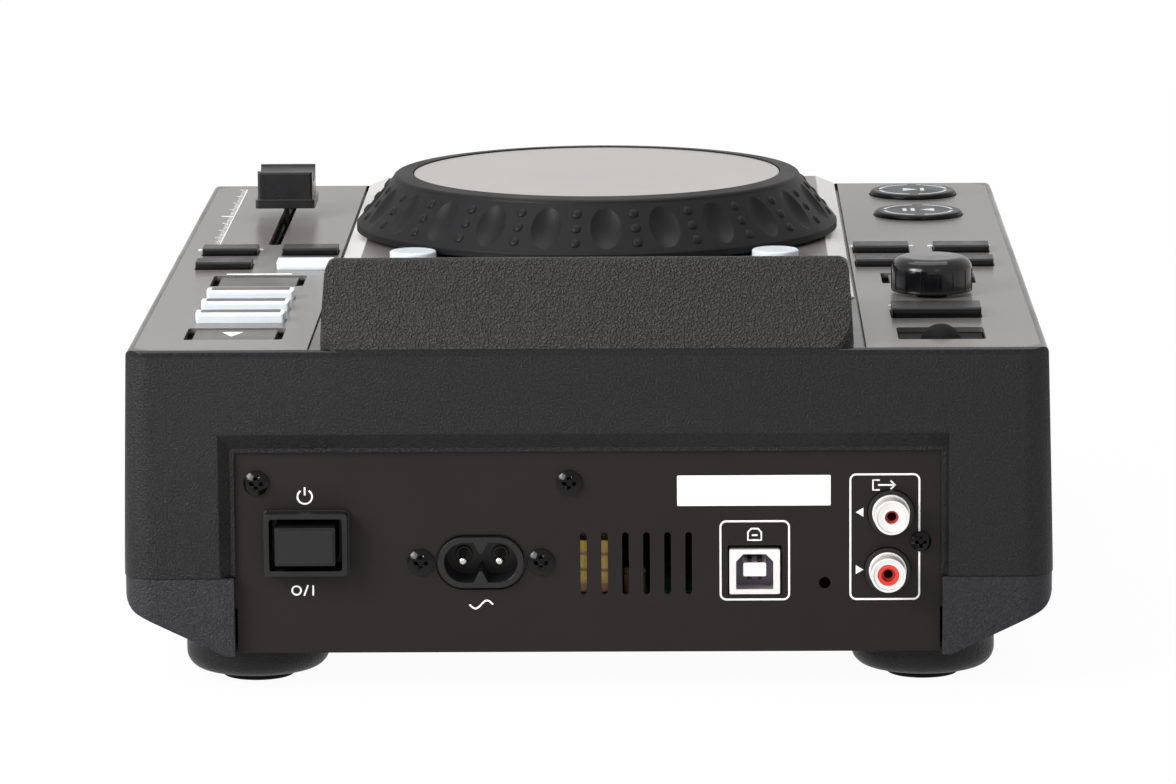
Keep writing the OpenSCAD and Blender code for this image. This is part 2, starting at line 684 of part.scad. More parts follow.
screw_r = 1.45;
screw_head_r = 3;
screw_head_h = 1.9;
small_head_r = 2.45;
mains_w = 20.6;
mains_h = 12.3;
mains_proud = 1;
switch_w = 20.6;
switch_tall = 15.7;
switch_proud = 5;

rca_flange_r = 5.5;
rca_sleeve_r = 4.15;
rca_seat_r = 4.5;
rca_bore_r = 3.55;
rca_sleeve_out = 6.9;
rca_out = 1.2;

// The steel plate lies behind the lip of the opening, with a flange each side and at the top.
module rear_panel() color("#1d1d1e") difference() {
  along_y(panel_back, panel_face - 0.02) {
    translate([-panel_half + FIT, base_z + 0.5]) square([2 * (panel_half - FIT), 20]);
    translate([-panel_half - 3, seam_z - 8]) square([2 * panel_half + 6, panel_top + 3 - seam_z + 8]);
  }
  for (p = panel_screws) on_panel(p) hole(screw_r + 0.3);
  for (s = [-1, 1]) on_panel(mains_at + [s * mains_screw_dx, 0]) hole(screw_r + 0.3);
  on_panel(rca_screw) hole(1.2 + 0.2);
  on_panel(spare_hole) hole(1.4);
  on_panel(mains_at) translate([0, 0, -9]) linear_extrude(18) stadium(mains_w + 1.2, mains_h + 1.2);
  on_panel(switch_at) slab(switch_w - 1.4, switch_tall - 1.4, 0.8, -9, 9);
  on_panel(usb_b_at) translate([0, -0.3, 0]) slab(usb_b_w + 0.8, usb_b_h + 1.2, 0.4, -9, 9);
  for (p = RCA) on_panel(p) hole(rca_flange_r + 0.15);
  for (i = [0:vents - 1]) on_panel(vents_at + [(i - (vents - 1) / 2) * vent_pitch, 0])
    translate([0, 0, -9]) linear_extrude(18) rotate(90) stadium(vent_h, vent_w);
}

module hole(r) translate([0, 0, -9]) cylinder(r = r, h = 18);

// Domed screw head with a tapered cross recess.
module pan_screw(r, head_r, head_h, length) difference() {
  union() {
    translate([0, 0, -length]) cylinder(r = r, h = length + 0.5);
    rotate_extrude() intersection() {
      translate([0, head_h - 1.5 * head_r]) circle(1.5 * head_r);
      square([head_r, head_h]);
    }
  }
  intersection() {
    for (a = [0, 90]) rotate(a) cube([head_r * 1.25, 0.32 * head_r, 9], center = true);
    translate([0, 0, head_h - 1.4]) cylinder(r1 = 0.25 * head_r, r2 = 0.72 * head_r, h = 1.5);
  }
}

module screws() color("#151516") {
  for (p = panel_screws) on_panel(p) pan_screw(screw_r, screw_head_r, screw_head_h, 9);
  for (s = [-1, 1]) on_panel(mains_at + [s * mains_screw_dx, 0])
    pan_screw(screw_r, screw_head_r + 0.2, screw_head_h, 6);
  on_panel(rca_screw) pan_screw(1.2, small_head_r, 1.6, 7);
  for (s = [-1, 1], y = case_screw_y) at([s * case_screw_x, y])
    translate([0, 0, seam_z - 3.2]) mirror([0, 0, 1]) pan_screw(screw_r, screw_head_r, screw_head_h, 12);
}

// Mains inlet for a two-pole lead; its ears are screwed behind the panel.
cavity_deep = 11.5;
pin_dx = 4.4;
pin_r = 1.2;
module inlet_cavity() difference() {
  stadium(mains_w - 3, mains_h - 2.6);
  for (s = [-1, 1]) scale(s) polygon([[-1.9, mains_h / 2], [-1.75, mains_h / 2 - 1.3], [-0.3, 2.1],
                                      [0.3, 2.1], [1.75, mains_h / 2 - 1.3], [1.9, mains_h / 2]]);
}

module mains_inlet() color("#1a1a1b") on_panel(mains_at) difference() {
  union() {
    difference() {
      translate([0, 0, -20]) linear_extrude(20 + mains_proud) stadium(mains_w, mains_h);
      translate([0, 0, mains_proud - cavity_deep]) linear_extrude(20) inlet_cavity();
    }
    for (s = [-1, 1]) translate([s * pin_dx, 0, mains_proud - cavity_deep - 1]) cylinder(r = 2, h = 1.8);
    difference() {
      translate([0, 0, -panel_t - 2.5])
        linear_extrude(2.48) stadium(2 * mains_screw_dx + 8, mains_h + 2);
      translate([0, 0, -9]) linear_extrude(20) stadium(mains_w - 1, mains_h - 1);
    }
  }
  for (s = [-1, 1]) translate([s * mains_screw_dx, 0, 0]) hole(screw_r + RUN);
  for (s = [-1, 1]) translate([s * pin_dx, 0, -30]) cylinder(r = pin_r + 0.02, h = 40);
}

module inlet_pins() color("#c8c4b8") for (s = [-1, 1]) on_panel(mains_at + [s * pin_dx, 0]) {
  translate([0, 0, -23]) cylinder(r = pin_r, h = 21.5);
  translate([0, 0, -1.5]) sphere(r = pin_r);
}

// Latching push switch: the button stands out of its bezel while the player is off.
button_w = 14.4;
button_tall = 9.2;
button_out = 7.6;
button_press = 3.5;
guide_deep = 6;
module switch_housing() color("#1b1b1c") on_panel(switch_at) difference() {
  union() {
    slab(switch_w, switch_tall, 1, 0, 1);
    slab(switch_w - 0.6, switch_tall - 0.6, 0.8, 0, switch_proud);
    slab(switch_w - 2, switch_tall - 2, 0.8, -20, 0.5);
  }
  slab(17.4, 12.6, 0.6, -guide_deep, switch_proud + 1);
  slab(button_w + 2 * FIT, button_tall + 2 * FIT, 0.4, -guide_deep - 4, 5);
  slab(17.4, 12.3, 0.6, -18.5, -guide_deep - 2.5);
}

module power_button() color("#252526") on_panel(switch_at) {
  slab(button_w, button_tall, 0.4, -guide_deep - 4.5, button_out - 0.5);
  slab(button_w - 1, button_tall - 1, 0.4, button_out - 1, button_out);
  slab(button_w + 1.8, button_tall + 2, 0.5, -guide_deep - 4.5, -guide_deep - 2.7);
  slab(5, 4, 0.4, -14.5, -guide_deep - 4);
}

module rca_block() color("#1a1a1b") difference() {
  union() {
    along_y(panel_back - 12, panel_back - 0.02)
      translate([RCA[0][0] - 9.5, signal_board_z]) square([17, RCA[0][1] + 8 - signal_board_z]);
    for (p = RCA) on_panel(p)
      translate([0, 0, -panel_t - 1]) cylinder(r = rca_flange_r, h = panel_t + 1 + rca_out);
  }
  for (p = RCA) on_panel(p) translate([0, 0, -9]) cylinder(r = rca_seat_r + 0.02, h = 20);
  on_panel(rca_screw) hole(1.2 + RUN);
}

// Each sleeve steps in to the plug's size where it leaves the block, which holds its collar.
module rca_sleeves() color("#d0d0cc") for (p = RCA) on_panel(p) difference() {
  union() {
    translate([0, 0, -8.9]) cylinder(r = rca_seat_r, h = 8.9 + rca_out);
    cylinder(r = rca_sleeve_r, h = rca_sleeve_out);
  }
  translate([0, 0, -10]) cylinder(r = rca_bore_r, h = 30);
}

module rca_insert(p) on_panel(p) translate([0, 0, -8.9]) difference() {
  cylinder(r = rca_bore_r - 0.02, h = rca_sleeve_out + 8.5);
  translate([0, 0, 3]) cylinder(r = 1.65, h = 30);
}
module rca_insert_white() color("#e6e4de") rca_insert(RCA[0]);
module rca_insert_red() color("#c8201c") rca_insert(RCA[1]);

// Mouth of a square data socket; its two upper corners are cut off.
module usb_b_mouth() polygon([[-4.45, -4.3], [4.45, -4.3], [4.45, 2.5], [2.7, 4.3], [-2.7, 4.3],
                              [-4.45, 2.5]]);

module usb_b_shell() color("#c9cac8") on_panel(usb_b_at) difference() {
  slab(usb_b_w, usb_b_h, 0.4, -15.5, 0.5);
  translate([0, 0, -15.1]) linear_extrude(20) mirror([0, 1]) usb_b_mouth();
  translate([0, 0, -15.1]) slab(usb_b_w - 0.8, usb_b_h - 0.8, 0.3, 0, 15);
}

module usb_b_tongue() color("#e4e4de") on_panel(usb_b_at) {
  slab(usb_b_w - 0.84, usb_b_h - 0.84, 0.3, -15, -9);
  translate([0, -0.3, 0]) slab(5.5, 3.3, 0.3, -9.5, -0.8);
}

module usb_a_socket() color("#b9bab8") at(usb_a_at) {
  difference() {
    slab(usb_a_w, usb_a_d, 0.5, usb_a_board_z, deck_low - FIT);
    slab(usb_a_w - 0.8, usb_a_d - 0.8, 0.3, usb_a_board_z + 3, deck_z);
  }
  translate([0, 1.2, 0]) box(-5.6, 5.6, -0.9, 0.9, usb_a_board_z + 2.9, deck_low - 1.5);
}

module usb_dust_cap() color("#232325") at(usb_a_at) {
  slab(usb_recess_w - 0.6, usb_recess_l - 0.6, 0.8, usb_recess_z - cap_plate_t, usb_recess_z);
  translate([0, -1.25, 0]) box(-5.4, 5.4, -0.8, 0.8, deck_low - 7, usb_recess_z - 0.5);
  translate([0, 0, usb_recess_z - 1.4]) intersection() {
    sphere(r = 5.1);
    translate([0, 0, 1.3]) cylinder(r = 6, h = 6);
  }
}

// ---------------------------------------------------------------- fader and knob

fader_body_w = 12;
fader_body_l = fader_travel + 14;
bush_r = 3.9;
shaft_r = 3;

module fader_body() color("#8d8f90") at([column_x, fader_y]) difference() {
  slab(fader_body_w, fader_body_l, 0.5, board_top, deck_low - FIT);
  slab(9, fader_body_l - 3, 0.3, board_top + 1, deck_low - FIT - 1);
  slab(2.2, 2 * fader_end, 1, board_top + 1, deck_low + 1);
}

module fader_lever() color("#2a2a2a") at([column_x, fader_y]) {
  slab(8.4, 5, 0.4, board_top + 1.2, deck_low - FIT - 1.25);
  slab(1.5, 4, 0.3, board_top + 1.2, deck_z + fader_cap_gap + 4.4);
}

// Saddle-shaped cap on a low skirt, with a hollow for the fingertip.
module fader_cap() color("#1e1e20") at([column_x, fader_y]) difference() {
  z0 = deck_z + fader_cap_gap;
  half = fader_cap_l / 2 - 2;
  dip = 3.8;
  r = (half * half + dip * dip) / (2 * dip);
  union() {
    slab(fader_cap_w, fader_cap_l, 1, z0, z0 + 2.3);
    bar_cap(fader_cap_w - 1.3, fader_cap_l - 1.3, 0.7, z0, z0 + fader_cap_h);
  }
  along_x(-fader_cap_w, fader_cap_w) translate([0, z0 + fader_cap_h + r - dip]) circle(r, $fn = 96);
  slab(1.5 + 0.04, 4 + 0.04, 0.3, z0 - 1, z0 + 4.45);
}

// Rotary encoder on the board; the knob's shaft turns in its bush.
module encoder() at([-column_x, knob_y]) difference() {
  union() {
    slab(12, 12, 0.5, board_top, deck_low - FIT);
    cylinder_z(bush_r, board_top + 1, deck_z + 0.3);
  }
  cylinder_z(shaft_r + RUN, board_top + 2, deck_z + 9);
  cylinder_z(2.2 + RUN, board_top + 0.4, deck_z);
}

module cylinder_z(r, z0, z1) translate([0, 0, z0]) cylinder(r = r, h = z1 - z0);

plunger_top = board_top + 2 + knob_press + 0.1;
module encoder_plunger() color("#d8d8d4") at([-column_x, knob_y])
  cylinder_z(2.2, board_top + 0.4 + knob_press + 0.1, plunger_top);

// A ring of flats below a smooth rounded crown.
module browse_knob() color("#19191b") at([-column_x, knob_y]) {
  z0 = deck_z + knob_press + 0.3;
  z1 = deck_z + knob_h;
  r = knob_r + 0.2;
  cylinder_z(shaft_r, plunger_top + 0.05, z1 - 3);
  difference() {
    union() {
      cylinder_z(knob_r + 0.3, z0, z0 + 0.5);
      intersection() {
        rotate_extrude() polygon(concat([[0, z0], [r, z0], [r, z1 - 3.3]],
                                        arc([r - 3.2, z1 - 3.3], 3.2, 0, 86), [[0, z1]]));
        rotate(91.4) cylinder_z(r, z0, z1 + 1, $fn = knob_flats);
      }
    }
    cylinder_z(bush_r + 0.3, z0 - 1, deck_z + 2.6);
  }
}

// ---------------------------------------------------------------- jog wheel

boss_top = deck_z + 7;
lip_z = plateau_z + jog_gap;
hub_z = deck_z + jog_top - 2.4;   // top of the hub's web
seat_z = deck_z + jog_top - 1.2;  // seat of the silver disc
skirt_top_r = jog_disc_r + 5.6;
skirt_low_r = jog_r - 0.3;
skirt_low = lip_z + 2.1;
skirt_high = deck_z + jog_top - 1;

module jog_spindle() color("#b5b6b6") at([0, jog_y]) {
  cylinder_z(spindle_r, deck_low, hub_z + 0.8);
  cylinder_z(spindle_r + 2.5, hub_z + 0.1, hub_z + 0.8);
}

// Middle of the skirt's slope and its tilt from the upright, where the dimples sit.
skirt_mid = [(skirt_top_r + skirt_low_r) / 2, (skirt_low + skirt_high) / 2];
skirt_tilt = atan2(skirt_low_r - skirt_top_r, skirt_high - skirt_low);
dimple_long = 15.6;  // curvature radius of a dimple along the slope
dimple_wide = 7.4;   // curvature radius of a dimple across the slope
dimple_deep = 1.3;
dimple_turn = 3.1;   // turn of the first dimple from the +X side

module dimple_tool() rotate_extrude() intersection() {
  translate([dimple_wide - dimple_long, 0]) circle(dimple_long, $fn = 96);
  translate([0, -dimple_long]) square([dimple_wide, 2 * dimple_long]);
}

module jog_rim() color("#202022") at([0, jog_y]) difference() {
  rotate_extrude($fn = 180) polygon(concat(
    [[jog_r - 2.6, lip_z], [jog_r, lip_z], [jog_r, lip_z + 1.7], [skirt_low_r, skirt_low],
     [skirt_top_r, skirt_high]],
    arc([skirt_top_r - 1.2, skirt_high - 0.2], 1.2, 20, 85),
    [[jog_disc_r + 0.3, deck_z + jog_top + 0.3], [jog_disc_r + 0.3, seat_z],
     [jog_disc_r - 3.6, seat_z], [jog_disc_r - 3.6, hub_z], [jog_disc_r + 1.2, hub_z],
     [jog_r - 4.4, lip_z + 2]]));
  for (i = [0:dimples - 1]) rotate(dimple_turn + i * 360 / dimples)
    translate([skirt_mid[0], 0, skirt_mid[1]]) rotate([0, -skirt_tilt, 0])
      translate([dimple_wide - dimple_deep, 0, 0]) dimple_tool();
}

module jog_disc() color("#c9c7c4") at([0, jog_y]) cylinder_z(jog_disc_r, seat_z, deck_z + jog_top);

// Carrier inside the wheel: web, ribs, bearing sleeve and the slotted ring that is counted.
ring_r = 39;
ring_low = plateau_z + 2.4;
module jog_hub() color("#2c2c2e") at([0, jog_y]) difference() {
  union() {
    cylinder_z(jog_disc_r - 0.2, hub_z - 2, hub_z);
    cylinder_z(9, boss_top + 0.2, hub_z);
    difference() {
      cylinder_z(ring_r, ring_low, hub_z - 1);
      cylinder_z(ring_r - 1.2, ring_low - 1, hub_z - 2);
      for (i = [0:17]) rotate(i * 20) box(ring_r - 3, ring_r + 1, -1.6, 1.6, ring_low - 1, ring_low + 3.5);
    }
    for (i = [0:7]) rotate(i * 45) box(8, ring_r - 0.6, -0.8, 0.8, hub_z - 5, hub_z - 1);
  }
  cylinder_z(spindle_r + RUN, boss_top - 1, deck_z + 40);
}

// ---------------------------------------------------------------- disc drive

drive_half = 74;
drive_front = yf + 4;
drive_l = 152;
drive_wall = 1.6;
drive_low = 22.8;
drive_top = disc_z + slot_h / 2 + 4;
drive_posts = [for (s = [-1, 1], y = [drive_front + 26, drive_front + drive_l - 8]) [s * 66, y]];
slot_bezel_w = slot_w + 12;
slot_bezel_h = slot_h + 8;
slot_bezel_proud = 0.9;
hub_y = drive_front + 16 + disc_r;
path_low = disc_z - slot_h / 2;
roller_r = 4;
roller_y = drive_front + 8;
roller_z = path_low - roller_r - 0.2;
traverse_low = drive_low + drive_wall + 2;
traverse_lift = 3.6;
rod_z = path_low - 14;
rod_x = 17;
rod_r = 1.5;
screw_x = 24.5;
sled_y0 = hub_y + 24;
sled_half = 7;
block_front = hub_y - 15;
block_rear = sled_y0 + sled_travel + sled_half + 3;
TRAVERSE_STUDS = [for (s = [-1, 1], y = [block_front, block_rear]) [s * 28, y]];

module slot_bezel() color("#1c1c1e") difference() {
  union() {
    along_y(yf - slot_bezel_proud, yf) translate([0, disc_z]) rrect(slot_bezel_w, slot_bezel_h, 3);
    along_y(yf - 0.4, yf + wall + 0.8) translate([0, disc_z])
      rrect(slot_bezel_w - 2.4, slot_bezel_h - 2.4, 1.8);
  }
  along_y(yf - 2, yf + wall + 2) translate([0, disc_z]) rrect(slot_w, slot_h, 0.6);
}

// A straight bar of radius r along Y, from y0 to y1.
module rod(x, z, r, y0, y1) translate([x, y0, z]) rotate([-90, 0, 0]) cylinder(r = r, h = y1 - y0);

// Pressed tray of the drive: floor, side walls, a rear wall and a guide plate over the disc.
module drive_frame() color("#9a9c9d") difference() {
  union() {
    for (z = [drive_low, drive_top - drive_wall])
      box(-drive_half, drive_half, drive_front, drive_front + drive_l, z, z + drive_wall);
    for (s = [0, 1]) mirror([s, 0, 0]) box(drive_half - drive_wall, drive_half, drive_front,
                                           drive_front + drive_l, drive_low, drive_top);
    box(-drive_half, drive_half, drive_front + drive_l - drive_wall, drive_front + drive_l,
        drive_low, drive_top);
    for (p = TRAVERSE_STUDS) at(p) cylinder_z(2, drive_low + 0.5, traverse_low);
  }
  translate([-drive_half - 1, roller_y, roller_z]) rotate([0, 90, 0])
    cylinder(r = 1.6 + RUN, h = 2 * drive_half + 2);
}

// Sub-frame with the motor and the pickup; it lifts to push the hub into the disc.
module traverse() color("#5f6163") difference() {
  union() {
    box(-32, 32, block_front - 3, block_rear + 3, traverse_low, traverse_low + drive_wall);
    for (y = [block_front, block_rear])
      box(-32, 32, y - 1.5, y + 1.5, traverse_low, rod_z + 3.2);
  }
  for (x = [-rod_x, rod_x]) rod(x, rod_z, rod_r + 0.02, block_front - 5, block_rear + 5);
  rod(screw_x, rod_z, rod_r + RUN, block_front - 5, block_rear + 5);
}

module guide_rods() color("#c4c6c8") for (x = [-rod_x, rod_x])
  rod(x, rod_z, rod_r, block_front - 2, block_rear + 2);

module spindle_motor() color("#8a8c8e") at([0, hub_y]) {
  cylinder_z(11, traverse_low + drive_wall, path_low - 9);
  cylinder_z(1, path_low - 10, path_low - 1.5);
}

module disc_hub() color("#1e1e20") at([0, hub_y]) difference() {
  union() {
    cylinder_z(11, path_low - 6.4, path_low - 3.4);
    cylinder_z(7.3, path_low - 6.4, path_low - 0.6);
  }
  cylinder_z(1 + RUN, path_low - 7, path_low - 1.4);
}

module pickup_sled() color("#5a4a3a") difference() {
  union() {
    box(-rod_x - 5, screw_x + 5, sled_y0 - sled_half, sled_y0 + sled_half, rod_z - 4, rod_z + 4);
    at([0, sled_y0]) cylinder_z(4, rod_z + 3, path_low - 3);
  }
  for (x = [-rod_x, rod_x, screw_x]) rod(x, rod_z, rod_r + RUN, sled_y0 - 10, sled_y0 + 10);
}

module lead_screw() color("#b9bbbd") {
  rod(screw_x, rod_z, rod_r, block_front - 2, block_rear + 4);
  rod(screw_x, rod_z, 3.6, block_rear + 2, block_rear + 3.4);
}

module feed_roller() color("#2b2b2b") translate([0, roller_y, roller_z]) rotate([0, 90, 0]) {
  cylinder(r = 1.6, h = 2 * drive_half + 3, center = true);
  for (s = [0, 1]) mirror([0, 0, s]) translate([0, 0, 6]) cylinder(r1 = roller_r - 0.6, r2 = roller_r, h = 54);
}

// ---------------------------------------------------------------- assembly

upper_shell();
lower_shell();
foot_pads();
rear_panel();
control_plates();
jog_plate();
display_window();
circuit_boards();
board_components();
power_transformer();
screws();
mains_inlet();
inlet_pins();
switch_housing();
power_button();
rca_block();
rca_sleeves();
rca_insert_white();
rca_insert_red();
usb_b_shell();
usb_b_tongue();
usb_a_socket();
usb_dust_cap();
fader_body();
fader_lever();
fader_cap();
encoder_plunger();
browse_knob();
jog_spindle();
jog_rim();
jog_disc();
jog_hub();
slot_bezel();
drive_frame();
traverse();
spindle_motor();
disc_hub();
guide_rods();
pickup_sled();
lead_screw();
feed_roller();
bar_button(0);  // right_bar_front_outer
bar_button(1);  // right_bar_front_inner
bar_button(2);  // right_bar_rear_outer
bar_button(3);  // right_bar_rear_inner
bar_button(4);  // left_bar_front_outer
bar_button(5);  // left_bar_front_inner
bar_button(6);  // left_bar_rear_outer
bar_button(7);  // left_bar_rear_inner
mode_key(0);  // mode_key_front
mode_key(1);  // mode_key_middle
mode_key(2);  // mode_key_rear
sunk_button(0);  // right_sunk_button
sunk_button(1);  // eject_button
sunk_button(2);  // left_sunk_button
round_button(0);  // cue_button
round_button(1);  // play_button
back_button();
pad_button(0);  // right_pad_button
pad_button(1);  // left_pad_button
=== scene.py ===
"""Looks, light and camera for a tabletop disc player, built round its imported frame.

Lengths are in millimetres, and are turned to metres where a mesh is made. X runs
across the player, +Y faces the socket panel, and Z is the height above the table.
"""

import logging
import math
from dataclasses import dataclass
from enum import Enum
from typing import Any, Sequence

import bmesh
import bpy
from mathutils import Matrix, Vector


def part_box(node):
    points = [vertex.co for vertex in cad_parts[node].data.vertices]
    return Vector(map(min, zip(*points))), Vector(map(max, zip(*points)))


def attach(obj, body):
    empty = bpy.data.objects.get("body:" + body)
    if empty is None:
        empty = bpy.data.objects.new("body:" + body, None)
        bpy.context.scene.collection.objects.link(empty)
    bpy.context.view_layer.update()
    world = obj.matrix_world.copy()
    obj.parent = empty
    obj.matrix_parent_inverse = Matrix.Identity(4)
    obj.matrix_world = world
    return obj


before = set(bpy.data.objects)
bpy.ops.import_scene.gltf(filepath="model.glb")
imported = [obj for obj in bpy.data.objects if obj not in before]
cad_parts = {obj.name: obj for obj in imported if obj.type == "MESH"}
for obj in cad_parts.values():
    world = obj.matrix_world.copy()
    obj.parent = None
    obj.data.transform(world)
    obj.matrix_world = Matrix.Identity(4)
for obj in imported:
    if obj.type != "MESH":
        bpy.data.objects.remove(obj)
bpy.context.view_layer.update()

LOG = logging.getLogger("disc_player")
MM = 0.001

Point2 = tuple[float, float]
Point3 = tuple[float, float, float]
Colour = tuple[float, float, float, float]
Tree = bpy.types.NodeTree
Socket = bpy.types.NodeSocket

# Sockets of the Mix node when it mixes colours, whose names all its modes share.
MIX_A, MIX_B, MIX_RESULT = 6, 7, 2

# Each finer octave of a noise is a little over half as strong as the one before.
OCTAVES = 3.0
OCTAVE_SHARE = 0.55
# A noise seldom leaves this band.
NOISE_BAND = (0.3, 0.7)
BEVEL_SAMPLES = 4

# The jog wheel's middle, and the heights that more than one class goes by.
JOG_Y = -40.0
DECK = 83.8
FOOT_TOP = 9.2
SEAM = 28.6

# How many steps a rounded corner has, and how many points a printed ring has.
CORNER_STEPS = 5
RING_POINTS = 36
# An edge that bends by more degrees than this stays sharp.
SHARP_FROM = 32.0


# ---------------------------------------------------------------- colours and nodes


def linear(hex_colour: str) -> Colour:
    """Turns an sRGB colour into the linear one that the shaders use.

    Args:
        hex_colour: six hex digits with a leading #.

    Returns:
        Red, green, blue and an alpha of one.
    """
    shares = [int(hex_colour[i : i + 2], 16) / 255 for i in (1, 3, 5)]
    red, green, blue = (
        c / 12.92 if c <= 0.04045 else ((c + 0.055) / 1.055) ** 2.4 for c in shares
    )
    return (red, green, blue, 1.0)


def add_node(
    tree: Tree,
    kind: str,
    inputs: dict[Any, Any] | None = None,
    **settings: Any,
) -> bpy.types.Node:
    """Adds a node with its settings and links.

    Args:
        tree: the tree that takes the node.
        kind: Blender's name for the kind of node.
        inputs: for each input, a value to set or a socket to link.
        **settings: properties of the node itself.

    Returns:
        The new node.
    """
    node = tree.nodes.new(kind)
    for key, value in settings.items():
        setattr(node, key, value)
    for key, value in (inputs or {}).items():
        if isinstance(value, Socket):
            tree.links.new(value, node.inputs[key])
        else:
            node.inputs[key].default_value = value
    return node


class Relief(Enum):
    """How the relief of a surface was made."""

    SPARKED = "fine pits of a spark-eroded mould"
    LEATHER = "pebbles of an etched leather grain"
    ROLLED = "low waves of paint or rolled sheet"
    BRUSHED = "scratches that run across the player"
    TURNED = "grooves round the middle of the jog wheel"


@dataclass(frozen=True)
class Grain:
    """One layer of relief: how it was made, and one grain's width and depth."""

    relief: Relief
    width: float
    depth: float


@dataclass(frozen=True)
class Finish:
    """What a piece is made of and how its surface was made."""

    name: str
    base: str
    shade: str
    roughness: float
    grains: tuple[Grain, ...] = ()
    metallic: float = 0.0
    specular: float = 0.5
    coat: float = 0.0
    coat_roughness: float = 0.12
    # The radius that edges are broken with, and how wide the patches of colour are.
    edge: float = 0.25
    mottle: float = 6.0
    # Wear comes in wider patches than colour does, and shifts the roughness by uneven.
    wear: float = 2.3
    uneven: float = 0.06

    def build(self) -> bpy.types.Material:
        """Makes the material, or finds it where an earlier piece has asked for it.

        Returns:
            The material.
        """
        known = bpy.data.materials.get(self.name)
        if known is not None:
            return known
        material = bpy.data.materials.new(self.name)
        material.use_nodes = True
        tree = material.node_tree
        tree.nodes.clear()
        place = add_node(tree, "ShaderNodeTexCoord").outputs["Object"]
        # Object coordinates are metres, and every pattern counts in millimetres.
        mm = add_node(
            tree,
            "ShaderNodeVectorMath",
            {0: place, "Scale": 1 / MM},
            operation="SCALE",
        ).outputs["Vector"]
        shader = add_node(
            tree,
            "ShaderNodeBsdfPrincipled",
            {
                "Metallic": self.metallic,
                "Specular IOR Level": self.specular,
                "Coat Weight": self.coat,
                "Coat Roughness": self.coat_roughness,
                "Base Color": self.colour(tree, mm),
                "Roughness": self.polish(tree, mm),
                "Normal": self.surface(tree, mm),
                **self.extras(),
            },
        ).outputs["BSDF"]
        add_node(tree, "ShaderNodeOutputMaterial", {"Surface": shader})
        return material

    def cloud(self, tree: Tree, mm: Socket, width: float) -> Socket:
        """Soft noise from 0 to 1 whose patches are as wide as width, in millimetres.

        Args:
            tree: the material's tree.
            mm: the place on the surface, in millimetres.
            width: how wide a patch is, in millimetres.

        Returns:
            The noise at the place.
        """
        return add_node(
            tree,
            "ShaderNodeTexNoise",
            {
                "Vector": mm,
                "Scale": 1 / width,
                "Detail": OCTAVES,
                "Roughness": OCTAVE_SHARE,
            },
        ).outputs["Fac"]

    def colour(self, tree: Tree, mm: Socket) -> Socket:
        """The base colour, which drifts towards the shade in soft patches.

        Args:
            tree: the material's tree.
            mm: the place on the surface, in millimetres.

        Returns:
            The colour at the place.
        """
        return add_node(
            tree,
            "ShaderNodeMix",
            {
                "Factor": self.cloud(tree, mm, self.mottle),
                MIX_A: linear(self.base),
                MIX_B: linear(self.shade),
            },
            data_type="RGBA",
        ).outputs[MIX_RESULT]

    def polish(self, tree: Tree, mm: Socket) -> Socket:
        """The roughness, a little uneven as on any handled surface.

        Args:
            tree: the material's tree.
            mm: the place on the surface, in millimetres.

        Returns:
            The roughness at the place.
        """
        return add_node(
            tree,
            "ShaderNodeMapRange",
            {
                "Value": self.cloud(tree, mm, self.wear * self.mottle),
                "From Min": NOISE_BAND[0],
                "From Max": NOISE_BAND[1],
                "To Min": self.roughness - self.uneven,
                "To Max": self.roughness + self.uneven,
            },
        ).outputs["Result"]

    def surface(self, tree: Tree, mm: Socket) -> Socket:
        """The normal, with edges broken by a small radius and the layers of relief.

        Args:
            tree: the material's tree.
            mm: the place on the surface, in millimetres.

        Returns:
            The normal at the place.
        """
        normal = add_node(
            tree,
            "ShaderNodeBevel",
            {"Radius": self.edge * MM},
            samples=BEVEL_SAMPLES,
        ).outputs["Normal"]
        for grain in self.grains:
            normal = add_node(
                tree,
                "ShaderNodeBump",
                {
                    "Strength": self.reach(tree, mm, grain),
                    "Distance": grain.depth * MM,
                    "Height": self.height(tree, mm, grain),
                    "Normal": normal,
                },
            ).outputs["Normal"]
        return normal

    def reach(self, tree: Tree, mm: Socket, grain: Grain) -> Any:
        """How strongly a layer shows, which a finish may vary from place to place."""
        return 1.0

    def height(self, tree: Tree, mm: Socket, grain: Grain) -> Socket:
        """Builds the height of one layer of relief.

        Args:
            tree: the material's tree.
            mm: the place on the surface, in millimetres.
            grain: the layer.

        Returns:
            A height from 0 to 1.
        """
        if grain.relief is Relief.LEATHER:
            return self.pebbles(tree, mm, grain.width)
        if grain.relief is Relief.BRUSHED:
            return self.scratches(tree, mm, grain.width)
        if grain.relief is Relief.TURNED:
            return self.rings(tree, mm, grain.width)
        return self.cloud(tree, mm, grain.width)

    def pebbles(self, tree: Tree, mm: Socket, width: float) -> Socket:
        """Pebbles, each highest in its middle, whose pattern a slow noise bends.

        Args:
            tree: the material's tree.
            mm: the place on the surface, in millimetres.
            width: how wide a pebble is, in millimetres.

        Returns:
            A height from 0 to 1.
        """
        # The bends are wider than a pebble, the valleys soft, and foot is their depth.
        slow, soft, foot = 0.8, 0.35, 0.7
        bent = add_node(
            tree,
            "ShaderNodeTexNoise",
            {"Vector": mm, "Scale": slow / width, "Detail": 1.0},
        ).outputs["Color"]
        wandering = add_node(
            tree,
            "ShaderNodeVectorMath",
            {0: bent, 1: (width,) * 3, 2: mm},
            operation="MULTIPLY_ADD",
        ).outputs["Vector"]
        middles = add_node(
            tree,
            "ShaderNodeTexVoronoi",
            {"Vector": wandering, "Scale": 1 / width, "Smoothness": soft},
            feature="SMOOTH_F1",
        ).outputs["Distance"]
        return add_node(
            tree,
            "ShaderNodeMapRange",
            {"Value": middles, "From Max": foot, "To Min": 1.0, "To Max": 0.0},
        ).outputs["Result"]

